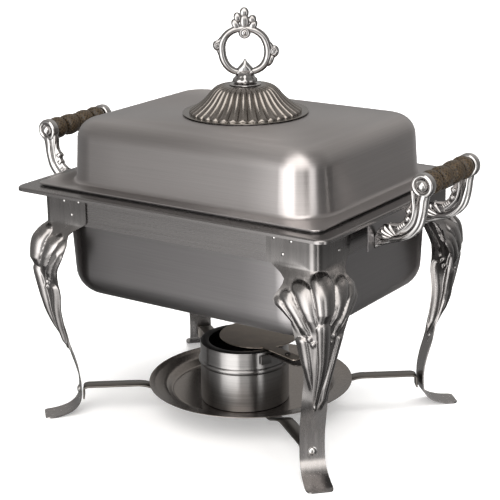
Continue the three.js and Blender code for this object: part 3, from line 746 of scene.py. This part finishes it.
def tray():
    profile = [(2.8, 25), (70, 25), (72, 25.0), (83, 25), (84.6, 24.7), (86.6, 25.5), (89.5, 28.6),
               (92, 30.6), (95, 31.4), (105, 33.4),
               (110.2, 35.0), (111.1, 35.0), (111.3, 34.4), (105, 32.3), (95.6, 30.3), (92.6, 29.4),
               (90.2, 27.4), (87.4, 24.5), (84.6, 24), (83, 24), (2.8, 24)]
    v, f = lathe(rounded(profile, 0.5, 2, closed=True), 160)
    piece("tray_dish", v, f, TRAY_STEEL, "stand", ["fuel_tray"], sharp=50)
    bolt = [(0, 13.6), (4.7, 13.6), (5, 14), (5, 16.2), (4.7, 16.4), (2.5, 16.5), (2.5, 25.2), (5.8, 25.3),
            (6, 25.6),
            (5.2, 26.8), (3.4, 27.3), (0, 27.4)]
    v, f = lathe(bolt, 32)
    piece("tray_bolt_turned", v, f, CAST, "stand", ["tray_bolt"])


# ---------- burner ----------
CUP = (11.0, -26.0)
PIVOT = (80.6, -47.1)
DAMPER_RADIUS = 43
DAMPER_TURN = -15
HANDLE_TURN = -20


def burner():
    cup = [(0, 30.3), (44, 30.3), (46, 31), (46.4, 32), (46.4, 65.7), (44.4, 65.9), (44.4, 87.8),
           (44.9, 88), (45.4, 87.8), (45.4, 66.9),
           (47.0, 66.6), (47.4, 66.2), (47.4, 26.6), (46.9, 25.5), (46.4, 25.3), (46, 26), (46, 29.1),
           (45, 29.3), (0, 29.3)]
    v, f = lathe(cup, 128, centre=CUP)
    obj = piece("fuel_cup_shell", v, f, BURNER_STEEL, "burner", ["fuel_cup"], sharp=40)
    # the inside of the cup is painted near black as painted shade
    obj.data.materials.append(INSIDE_SHADE_STEEL)
    inside(obj, CUP, 46.6, 29.9, 88.0)

    cover = [(46.2, 67.0), (47.2, 66.9), (48.6, 67.6), (49.3, 69.2), (49.3, 71), (48.7, 72.2), (47.5, 73),
             (47.5, 74), (47.3, 74.5),
             (47.2, 75), (47.2, 89.8), (46.9, 90.6), (46.2, 91), (38.8, 91), (38.2, 90.7), (38.2, 90.2),
             (38.6, 90),
             (45.6, 90), (46.2, 89.4)]
    v, f = lathe(cover, 128, centre=CUP)
    obj = piece("burner_sleeve", v, f, BURNER_STEEL, "burner_cover", ["burner_cover"],
                sharp=40)
    # the inside of the sleeve is painted near black as painted shade
    obj.data.materials.append(INSIDE_SHADE_STEEL)
    inside(obj, CUP, 46.6, 60, 91.2)


def inside(obj, centre, radius, low, high):
    """Gives the faces inside a radius and height band the second material."""
    for face in obj.data.polygons:
        c = face.center / MM
        r = math.hypot(c.x - centre[0], c.y - centre[1])
        inward = face.normal.x * (c.x - centre[0]) + face.normal.y * (c.y - centre[1]) < 0.3 * r
        if r < radius and low < c.z < high and (inward or face.normal.z > 0.5):
            face.material_index = 1


def bar_loop(outline, z0, z1, bevel=0.3):
    """A flat plate with bevelled edges from a counter-clockwise outline in the XY plane."""
    pts = np.array(outline, float)
    n = len(pts)
    area = sum(pts[i][0] * pts[(i + 1) % n][1] - pts[(i + 1) % n][0] * pts[i][1] for i in range(n))
    if area < 0:
        pts = pts[::-1]
    ahead = np.roll(pts, -1, 0) - pts
    ahead /= np.linalg.norm(ahead, axis=1)[:, None]
    behind = np.roll(ahead, 1, 0)
    inward = np.column_stack([-(ahead[:, 1] + behind[:, 1]), ahead[:, 0] + behind[:, 0]])
    inward /= np.maximum(np.linalg.norm(inward, axis=1)[:, None], 1e-6)
    small = pts + inward * bevel
    rings = [(small, z0), (pts, z0 + bevel), (pts, z1 - bevel), (small, z1)]
    return skin([np.column_stack([ring, np.full(n, z)]) for ring, z in rings])


def flat_bar(start, end, width, z0, z1, corners):
    start, end = np.array(start, float), np.array(end, float)
    along = (end - start) / np.linalg.norm(end - start)
    side = np.array([-along[1], along[0]]) * width / 2
    return bar_loop(rounded([start - side, end - side, end + side, start + side], corners, 4, closed=True),
                    z0, z1, 0.3)


def damper_and_handle():
    z = 91.3
    disc = [(CUP[0] + DAMPER_RADIUS * math.cos(a), CUP[1] + DAMPER_RADIUS * math.sin(a))
            for a in np.linspace(0, TAU, 96, endpoint=False)]
    plate = bar_loop(disc, z, z + 1.2, 0.25)
    plate = (turned_about(plate[0], PIVOT, DAMPER_TURN), plate[1])
    arm = flat_bar((43, -36), (97, -52), 12, z + 1.2, z + 2.5, [1, 4, 4, 1])
    v, f = merge([plate, arm])
    piece("damper_plate", v, f, DAMPER_STEEL, "damper", ["damper"], sharp=40)

    bar = flat_bar((49.1, 1), (94.2, 4.5), 11, 87.5, 89.1, [1, 5, 5, 1])
    weld = bar_loop([(47.9, -13), (49.3, -13), (49.3, 0), (47.9, 0)], 78, 88.0, 0.3)
    v, f = merge([bar, weld])
    v = turned_about(v, (0, 0), HANDLE_TURN) + np.array([CUP[0], CUP[1], 0])
    obj = piece("cover_handle_bar", v, f, DARK_STEEL, "burner_cover", ["cover_handle"],
                sharp=40)
    obj.data.materials.append(BURNER_STEEL)
    for face in obj.data.polygons[len(bar[1]):]:  # the welded foot is bright like the sleeve
        face.material_index = 1

    rivet = [(0, 86), (2.3, 86), (2.6, 86.3), (2.6, 87.1), (1.6, 87.2), (1.6, 94), (3, 94), (2.9, 94.4),
             (2.2, 95.1), (1.0, 95.3), (0, 95.3)]
    v, f = lathe(rivet, 32, centre=PIVOT)
    piece("damper_rivet_turned", v, f, DARK_STEEL, "burner_cover", ["damper_rivet"])


# ---------- finial ----------
FINIAL_TURN = 35


def finial():
    base = LID_TOP + GAP
    flutes = 34

    def fluted(angle, r, z):
        height = z - base
        if r < 20 or r > 59.1 or height < 0.9:
            return r, z
        fade = min(1.0, (r - 20) / 7, (height - 0.9) / 0.5)
        depth = 2.1 * fade * (0.45 + 0.55 * r / 58)
        groove = abs(math.sin(flutes * angle / 2)) ** 0.62
        return r - depth * (1 - groove) * 0.75, max(z - depth * (1 - groove) * 0.75, base + 0.8)

    curve = smooth([(58.7, 1.6), (58.6, 2.9), (57.2, 4.3), (54.4, 5.9), (50, 8.9), (45.5, 12.4),
                    (41, 16.7), (37.4, 20.9), (34, 24.6), (30.6, 27.2), (26.5, 28.6),
                    (22, 29.1), (18.5, 29.3)], 4)
    outside = [(64.6, 0.9), (65.5, 0.8), (65.7, 1.1), (65.4, 1.5), (64.6, 1.5), (61.5, 1.15), (59.4, 0.95),
               (58.8, 0.95)]
    profile = [(r, base + h) for r, h in outside] + [(r, base + h) for r, h in curve]
    profile += [(2.8, base + 29.4), (2.8, base + 28.6)]
    profile += [(max(r - 2.6, 2.8), base + max(h - 2.3, 0.06)) for r, h in curve[::-1]]
    v, f = lathe(profile, flutes * 14, shape=fluted)
    piece("dome_fluted", v, f, DOME_STEEL, "lid", ["finial_dome"], sharp=60)

    washer = [(2.8, 361.3), (16.1, 361.3), (16.5, 361.6), (16.0, 362.2), (15.2, 362.5), (2.8, 362.5)]
    v, f = lathe(washer, 64)
    piece("finial_washer_turned", v, f, CAST, "lid", ["finial_washer"])

    v, f = finial_casting()
    piece("finial_casting", turned_about(v, (0, 0), FINIAL_TURN), f, FINIAL_CAST, "lid",
          ["finial_ring"], sharp=60)

    head = [(0, 326.8), (3, 326.9), (5, 327.6), (6.2, 329), (6.5, 330.2), (2.5, 330.2), (2.5, 369.8),
            (0, 370.4)]
    v, f = lathe(head, 32)
    piece("finial_screw_turned", v, f, CAST, "lid", ["finial_screw"])


def finial_casting():
    """Collar, leaf, open ring with side scrolls, and a cluster of buds on top, in the XZ plane."""
    foot = 362.8
    collar = lathe([(0, foot), (10.8, foot), (11.8, foot + 0.6), (12.5, foot + 2.2), (12.3, foot + 4),
                    (11, foot + 5.6), (9.8, foot + 6.4),
                    (9.6, foot + 7.4), (8.2, foot + 9), (5.5, foot + 11), (3, foot + 12),
                    (0, foot + 12.4)], 40,
                   shape=lambda a, r, z: (r * (1 + 0.045 * math.cos(8 * a)) if 9 < r else r, z))
    parts = [collar]
    # open ring, thickest at the sides
    ring = smooth([(0, 373.6), (9.4, 374.6), (17.5, 378.8), (22.6, 386.0), (24.2, 395), (22.8, 403.6),
                   (18.4, 411.4), (10.2, 417.0), (0, 418.6),
                   (-10.2, 417.4), (-18, 412.6), (-22.6, 405), (-23.4, 396.5), (-21.6, 387),
                   (-16.8, 379.2), (-9.4, 374.6)], 6, closed=True)
    path = upright(np.vstack([ring, ring[:1]]))
    lean = np.abs(path[:, 0]) / 24
    parts.append(tube(path, 3.2 + 1.0 * lean, 16, squash=(1.0, 1.05), up=(0, 1, 0)))
    # second strand laid over the upper ring at each side, so that it looks twisted
    right = [(5.5, 419.4), (12.5, 417.4), (19.6, 411.0), (25.0, 403.2), (28.6, 398.6)]
    left = [(-5.5, 420.4), (-12.5, 417.8), (-18.6, 412.0), (-23.0, 406.2), (-28.0, 405.4)]
    for line, thin, thick in ((right, 2.0, 2.5), (left, 2.2, 2.6)):
        strand = upright(smooth(line, 6))
        parts.append(tube(strand, np.linspace(thin, thick, len(strand)), 12, up=(0, 1, 0)))
    # leaf standing on the collar: a point with a fold down the middle and a curl at each side
    spade = [(0.3, 388.2), (2.6, 384.4), (5.6, 381.0), (8.6, 377.6), (9.4, 374.4), (7.0, 371.6),
             (3.2, 370.6), (0, 370.4)]
    outline = spade + [(0.6 - x, z) for x, z in spade[-2:0:-1]]
    loops = [[(x * k + 0.3 * (1 - k), y, 377.5 + (z - 377.5) * k) for x, z in outline] for y, k in
             ((-4.6, 0.25), (-4.2, 0.55), (-3.0, 0.88), (-1.4, 1.0), (1.4, 1.0), (3.0, 0.88), (4.2, 0.55),
              (4.6, 0.25))]
    parts.append(skin(loops))
    parts.append(blob((0.3, 0, 377.0), (1.5, 5.4, 7.4)))
    parts.append(blob((-6.4, 0, 373.6), (3.6, 4.6, 3.0), turn=-30))
    parts.append(blob((6.9, 0, 373.8), (3.6, 4.6, 3.0), turn=30))
    # scroll leaves at the sides
    for sx, x, z, k in ((-1, -28.0, 401.6, 0.85), (1, 30.2, 394.6, 1.0)):
        parts.append(blob((x, 0, z), (5.4 * k, 3.1, 6.6 * k), 12, 18, turn=sx * 14))
        for sy in (-1, 1):
            curl = [(x + sx * (3.4 - 0.05 * step) * k * math.cos(0.3 * step), sy * 2.4,
                     z + (4.4 - 0.1 * step) * k * math.sin(0.3 * step)) for step in range(24)]
            parts.append(tube(curl, 1.2 * k, 10, up=(0, 1, 0)))
        parts.append(blob((x - sx * 3.4, 0, z - 8.6 * k), (3.3, 3.0, 7.4 * k), 10, 16, turn=sx * 26))
        parts.append(blob((x - sx * 4.2, 0, z + 7.0 * k), (3.0, 2.9, 5.4 * k), 10, 16, turn=-sx * 38))
    # rosette over the ring
    parts.append(blob((0.4, 0, 414.4), (6.4, 4.6, 6.2)))
    for sy in (-1, 1):
        ring = [(0.4 + 4.2 * math.cos(a), sy * 3.9, 414.6 + 4.4 * math.sin(a)) for a in np.linspace(0, TAU,
                                                                                                    25)]
        parts.append(tube(np.array(ring), 1.25, 8, up=(0, 1, 0)))
        parts.append(blob((0.4, sy * 4.2, 414.6), (1.8, 1.3, 1.9), 8, 10))
    # crown of leaf buds
    def ribbed(phi, theta):
        return 1 - 0.13 * abs(math.cos(2 * theta)) * math.sin(phi)

    for x, z, w, h, tilt in ((-8.4, 422.6, 4.6, 6.6, -30), (9.0, 421.6, 4.6, 6.4, 34), (-6.6, 430.0, 4.6,
                                                                                        5.6, -12),
                                                                                        (8.4, 428.0, 4.8,
                                                                                         4.8, 24),
                             (0.6, 426.0, 5.6, 8.6, 0), (0.4, 435.0, 5.5, 5.6, 0)):
        parts.append(blob((x, 0, z), (w, min(w, 4.2), h), 12, 20, turn=tilt, crease=ribbed))
    v, f = merge(parts)
    v[:, 2] = np.minimum(v[:, 2], 440.7)
    return v, f


# ---------- handles ----------
GRIP_X, GRIP_Z = 235.0, 295.0
SCROLL_Y = 46
PLATE_X = 182.2


def scroll_bracket():
    """One cast scroll in the XZ plane at y = 0; mirror images make the other three."""
    def at(points):
        return upright(np.asarray(points, float) - (2.0, 0.8))

    # web behind the ornament
    outer = smooth([(186.4, 226.4), (192.4, 229.4), (197, 231.6), (207, 235.2), (215.9, 237.8),
                    (224.7, 242), (231.2, 247.2), (236.6, 254.2),
                    (239.7, 263.8), (241.2, 272), (242.1, 280.1), (243.5, 287)], 5)
    inner = smooth([(186.4, 238.5), (188.6, 244.8), (193.4, 249.6), (199.4, 253.2), (206, 254.4),
                    (212.2, 255.6), (217, 259.4), (219.8, 264.6),
                    (221.2, 271), (224.2, 277), (224.4, 284), (225.6, 291)], 5)

    def evenly(line):
        places = np.linspace(0, 1, len(line))
        return np.column_stack([np.interp(np.linspace(0, 1, 50), places, line[:, k]) for k in (0, 1)])

    loops = []
    for a, b in zip(evenly(outer), evenly(inner)):
        section = []
        for w, h in ((0, 2.2), (0.06, 3.0), (0.5, 3.2), (0.94, 3.0), (1, 2.2), (1, -2.2), (0.94, -3.0),
                     (0.5, -3.2), (0.06, -3.0), (0, -2.2)):
            p = a + (b - a) * w
            section.append((p[0] - 2.0, h, p[1] - 0.8))
        loops.append(section)
    parts = [skin(loops)]
    # smooth band from the boss round to the tongue at the root
    band = smooth([(237.6, 287), (236.4, 281), (235.9, 273), (234.4, 264.8), (231.6, 256.6),
                   (226.4, 249.6), (220.0, 244.6), (212.8, 241.4),
                   (205.6, 239.4), (198.4, 236.0), (192.2, 231.8), (186.6, 228.0)], 8)
    size = np.interp(np.linspace(0, 1, len(band)), [0, 0.1, 0.35, 0.6, 0.72, 0.85, 1], [5.6, 5.3, 4.6, 4.3,
                                                                                        3.8, 2.7, 1.9])
    parts.append(tube(at(band), size, 20, squash=(1.0, 1.05), up=(0, 1, 0)))
    # thin rib along the inner side of the stem
    rib = smooth([(226.6, 290), (227.0, 283), (228.0, 275), (227.6, 267), (225.0, 259.6), (219.6, 253.2),
                  (213.6, 248.6), (208.4, 246.2)], 6)
    parts.append(tube(at(rib), np.linspace(2.7, 2.2, len(rib)), 12, squash=(1.0, 1.7), up=(0, 1, 0)))
    # two beads, a ribbed barrel and a curl
    for x, z in ((220.4, 268.0), (219.4, 260.2)):
        parts.append(blob((x, 0, z), (3.9, 4.9, 3.5)))
    for k in range(4):
        parts.append(blob((216.4 - 2.0 * k, 0, 254.4 - 1.5 * k), (1.6, 4.7, 4.0), 8, 14, turn=-42))
    curl = [(208.2 + (4.4 - 0.12 * k) * math.cos(math.radians(-20 + 16 * k)),
             246.6 + (4.2 - 0.12 * k) * math.sin(math.radians(-20 + 16 * k))) for k in range(24)]
    parts.append(tube(at(curl), np.linspace(2.2, 1.4, len(curl)), 10, squash=(1.0, 2.0), up=(0, 1, 0)))
    # leaf flutes fanning out to the root
    for k, (x, z) in enumerate([(201.4, 253.4), (195.2, 250.6), (190.6, 246.6), (187.8, 241.8),
                                (186.8, 236.6), (186.6, 231.6)]):
        start = np.array([212.0 - 0.9 * k, 241.0 - 0.6 * k])
        end = np.array([x, z])
        middle = (start + end) / 2 + np.array([-0.6, -1.0])
        line = smooth([start, middle, end], 6)
        line = np.vstack([line, end + (end - middle) / np.linalg.norm(end - middle) * 1.0])
        girth = [0.9, 1.1, 1.3, 1.5, 1.7, 1.85, 2.0, 2.15, 2.25, 2.3, 2.25, 2.0, 1.4, 0.5]
        girth = np.interp(np.linspace(0, 1, len(line)), np.linspace(0, 1, len(girth)), girth)
        parts.append(tube(at(line), girth, 12, squash=(1.0, 2.05), up=(0, 1, 0)))
    # boss: a raised ring round a recess
    boss = lathe([(3.4, -4.6), (3.4, 2.2), (6.4, 2.4), (7.2, 3.0), (7.9, 4.5), (9.0, 4.95), (10.6, 4.7),
                  (11.6, 3.6), (12.0, 2.2),
                  (12.0, -2.4), (11.6, -3.8), (10.6, -4.6)], 56)
    parts.append(moved(boss, place(GRIP_X, 0, GRIP_Z, (0, -1, 0))))
    v, f = merge(parts)
    v[:, 0] = np.maximum(v[:, 0], 184.3)
    v[:, 1] = np.clip(v[:, 1], -4.98, 4.98)
    return v, f


def grip_profile():
    """Half of the turned grip as (radius, distance from the middle), then its mirror image."""
    profile = [(3.3, 40.6), (6.8, 40.6), (8.0, 40.2), (9.6, 39), (10.9, 37), (11.7, 34.4), (11.9, 31.6),
               (11.5, 28.8), (10.6, 26.6), (8.4, 25.2),
               (7.5, 24.4), (7.5, 23.6), (9.9, 22.9), (9.9, 21.9), (7.7, 21.3), (9.0, 20.2), (11.0, 18.4),
               (11.5, 15.2), (11.6, 12), (11.3, 8.6),
               (10.6, 5.8), (9.9, 4.2), (8.0, 3.2), (7.9, 2.4), (10.1, 1.5), (10.3, 0)]
    return profile + [(r, -y) for r, y in profile[-2::-1]]


def handles():
    scroll = scroll_bracket()
    nut = lathe([(3.4, 0), (5.5, 0), (5.6, 0.6), (5.3, 2), (4.6, 3.4), (3.3, 4.5), (1.6, 5.1), (0, 5.2)],
                40,
                closed=False)
    segments = 72
    for side, sx in (("left", -1), ("right", 1)):
        plate = bar_loop([(-61, 225), (61, 225), (61, 258.5), (-61, 258.5)], 0, 1.8, 0.35)
        m = Matrix(((0, 0, 1, 0), (1, 0, 0, 0), (0, 1, 0, 0), (0, 0, 0, 1)))
        v, f = moved(plate, m)
        v[:, 0] = sx * (v[:, 0] + PLATE_X)
        if sx < 0:
            f = [face[::-1] for face in f]
        piece("plate_" + side, v, f, PAN_STEEL, "stand", ["handle_plate_" + side])

        profile = grip_profile()
        v, f = lathe([(r, -y) for r, y in profile], segments)
        uvs = [((i % segments) / segments, profile[i // segments][1] / 81.2 + 0.5) for i in range(len(v))]
        v, f = moved((v, f), place(sx * GRIP_X, 0, GRIP_Z, (0, 1, 0)))
        piece("grip_" + side, v, f, WOOD, "stand", ["handle_grip_" + side], sharp=60, uvs=uvs)

        v, f = moved(lathe([(0, -50.4), (2.8, -50.4), (3, -50.1), (3, 50.1), (2.8, 50.4), (0, 50.4)], 24),
                     place(sx * GRIP_X, 0, GRIP_Z, (0, 1, 0)))
        piece("rod_" + side, v, f, CAST, "stand", ["handle_rod_" + side])
        for end, sy in (("front", -1), ("back", 1)):
            m = Matrix.Translation((0, sy * SCROLL_Y, 0)) @ Matrix.Diagonal((sx, -sy, 1, 1))
            v, f = moved(scroll, m)
            piece(f"scroll_{side}_{end}", v, f, CAST, "stand",
                  [f"handle_scroll_{side}_{end}"], sharp=55)
            v, f = moved(nut, place(sx * GRIP_X, sy * 49.3, GRIP_Z, (0, sy, 0)))
            piece(f"nut_{side}_{end}", v, f, CAST, "stand", [f"cap_nut_{side}_{end}"])
            v, f = moved(dome_head(3.2, 1.8), place(sx * (PLATE_X - GAP), sy * SCROLL_Y, 235, (-sx, 0, 0)))
            piece(f"plate_screw_{side}_{end}", v, f, CAST, "stand",
                  [f"scroll_screw_{side}_{end}"])


# ---------- build ----------
top_frame()
drawn_pan("water_pan_shell", (327.6, 255.2, 46), (346, 267, 9), WATER_TOP, 139, 28.8, 4.8, PAN_STEEL,
          "water_pan")
drawn_pan("food_pan_shell", (300, 225, 44), (338, 260, 8), FOOD_TOP, FOOD_TOP - 60, 16, 4, LID_STEEL,
          "food_pan")
lid_shell()
legs()
rivets()
strap_screws()
straps()
tray()
burner()
damper_and_handle()
finial()
handles()


# ---------- studio ----------
def grey(v, tint):
    return v * (1 + tint), v, v * (1 - tint)


def floor_and_light():
    size = 12
    mesh = bpy.data.meshes.new("floor")
    mesh.from_pydata([(-size, -size, 0), (size, -size, 0), (size, size, 0), (-size, size, 0)], [],
                     [(0, 1, 2, 3)])
    mesh.update()
    floor = add_object("floor", mesh)
    mat, tree, shader = new_material("floor_paint")
    shader.inputs["Base Color"].default_value = (0.86, 0.86, 0.86, 1)
    shader.inputs["Roughness"].default_value = 0.9
    shader.inputs["Specular IOR Level"].default_value = 0.1
    shader.inputs["Emission Color"].default_value = (1, 1, 1, 1)
    shader.inputs["Emission Strength"].default_value = 0.26
    mesh.materials.append(mat)
    floor.visible_glossy = False

    world = bpy.data.worlds.new("studio")
    bpy.context.scene.world = world
    world.use_nodes = True
    tree = world.node_tree
    background = tree.nodes["Background"]
    coords = tree.nodes.new("ShaderNodeTexCoord")
    split = tree.nodes.new("ShaderNodeSeparateXYZ")
    tree.links.new(coords.outputs["Generated"], split.inputs["Vector"])
    # direction round the studio: 0 is the front, positive towards +X
    back = node(tree, "ShaderNodeMath", operation="MULTIPLY")
    back.inputs[1].default_value = -1.0
    tree.links.new(split.outputs["Y"], back.inputs[0])
    azimuth = node(tree, "ShaderNodeMath", operation="ARCTAN2")
    tree.links.new(split.outputs["X"], azimuth.inputs[0])
    tree.links.new(back.outputs["Value"], azimuth.inputs[1])
    turn = ramp(tree, azimuth.outputs["Value"], 0, 1, -math.pi, math.pi)
    walls = colour_ramp(tree, turn, [((a + 180) / 360, grey(v, 0.01)) for a, v in AROUND])
    ceiling = colour_ramp(tree, turn, [((a + 180) / 360, grey(v, 0.03)) for a, v in ABOVE])
    high = ramp(tree, split.outputs["Z"], 0, 1, *RISE)
    sky = node(tree, "ShaderNodeMix", data_type="RGBA")
    tree.links.new(high, sky.inputs["Factor"])
    tree.links.new(walls, sky.inputs[6])
    tree.links.new(ceiling, sky.inputs[7])
    # the floor side of the studio is darker
    low = ramp(tree, split.outputs["Z"], 0.3, 1.0, -0.75, -0.28)
    dim = node(tree, "ShaderNodeVectorMath", operation="SCALE")
    tree.links.new(sky.outputs[2], dim.inputs[0])
    tree.links.new(low, dim.inputs["Scale"])
    path = tree.nodes.new("ShaderNodeLightPath")
    mixed = node(tree, "ShaderNodeMix", data_type="RGBA")
    tree.links.new(path.outputs["Is Camera Ray"], mixed.inputs["Factor"])
    tree.links.new(dim.outputs["Vector"], mixed.inputs[6])
    mixed.inputs[7].default_value = (1, 1, 1, 1)
    tree.links.new(mixed.outputs[2], background.inputs["Color"])
    background.inputs["Strength"].default_value = 1.0


def area(name, where, target, size, power):
    data = bpy.data.lights.new(name, "AREA")
    data.shape = "RECTANGLE"
    data.size, data.size_y = size
    data.energy = power
    obj = add_object(name, data)
    obj.location = where
    obj.rotation_euler = (Vector(target) - Vector(where)).to_track_quat("-Z", "Y").to_euler()
    obj.visible_glossy = False
    obj.visible_camera = False


def sun(name, where, strength, spread):
    data = bpy.data.lights.new(name, "SUN")
    data.energy = strength
    data.angle = math.radians(spread)
    obj = add_object(name, data)
    obj.rotation_euler = Vector(where).to_track_quat("Z", "Y").to_euler()
    obj.visible_glossy = False


def around(azimuth, elevation, distance, target):
    """A place at an azimuth measured from the front (-Y) towards +X."""
    a, e = math.radians(azimuth), math.radians(elevation)
    return (target[0] + distance * math.cos(e) * math.sin(a),
            target[1] - distance * math.cos(e) * math.cos(a),
            target[2] + distance * math.sin(e))


def camera():
    data = bpy.data.cameras.new("camera")
    data.lens = 109.0
    data.sensor_width = 36.0
    obj = add_object("camera", data)
    obj.location = (0.8898, -1.2672, 0.6604)
    target = Vector((0.00155, 0.00107, 0.18115))
    aim = (target - Vector(obj.location)).to_track_quat("-Z", "Y")
    roll = Matrix.Rotation(math.radians(ROLL), 4, "Z")
    obj.rotation_euler = (aim.to_matrix().to_4x4() @ roll).to_euler()
    bpy.context.scene.camera = obj


# brightness of the studio at each azimuth in degrees, for level and for raised directions
AROUND = [(-180, 0.42), (-130, 0.30), (-60, 0.28), (-46, 0.40), (-37, 0.60), (-31, 0.95), (-25, 2.7),
          (-10, 3.8), (16, 3.8), (22, 1.0),
          (44, 0.9), (48, 0.06), (60, 0.06), (62, 2.2), (76, 2.2), (84, 0.20), (120, 0.18), (150, 0.28),
          (180, 0.42)]
ABOVE = [(-180, 0.60), (-130, 0.55), (-60, 0.34), (-20, 0.4), (-8, 3.0), (60, 3.0), (75, 0.45),
         (120, 0.30), (180, 0.60)]
RISE = (0.05, 0.45)
ROLL = -1.05
MIDDLE = (0, 0, 0.2)
floor_and_light()
sun("overhead", (0.15, 0.25, 1.0), 2.6, 50)
area("front_soft", around(22, 30, 1.8, MIDDLE), MIDDLE, (0.8, 1.3), 8)
camera()
bpy.context.scene.view_settings.view_transform = "Standard"
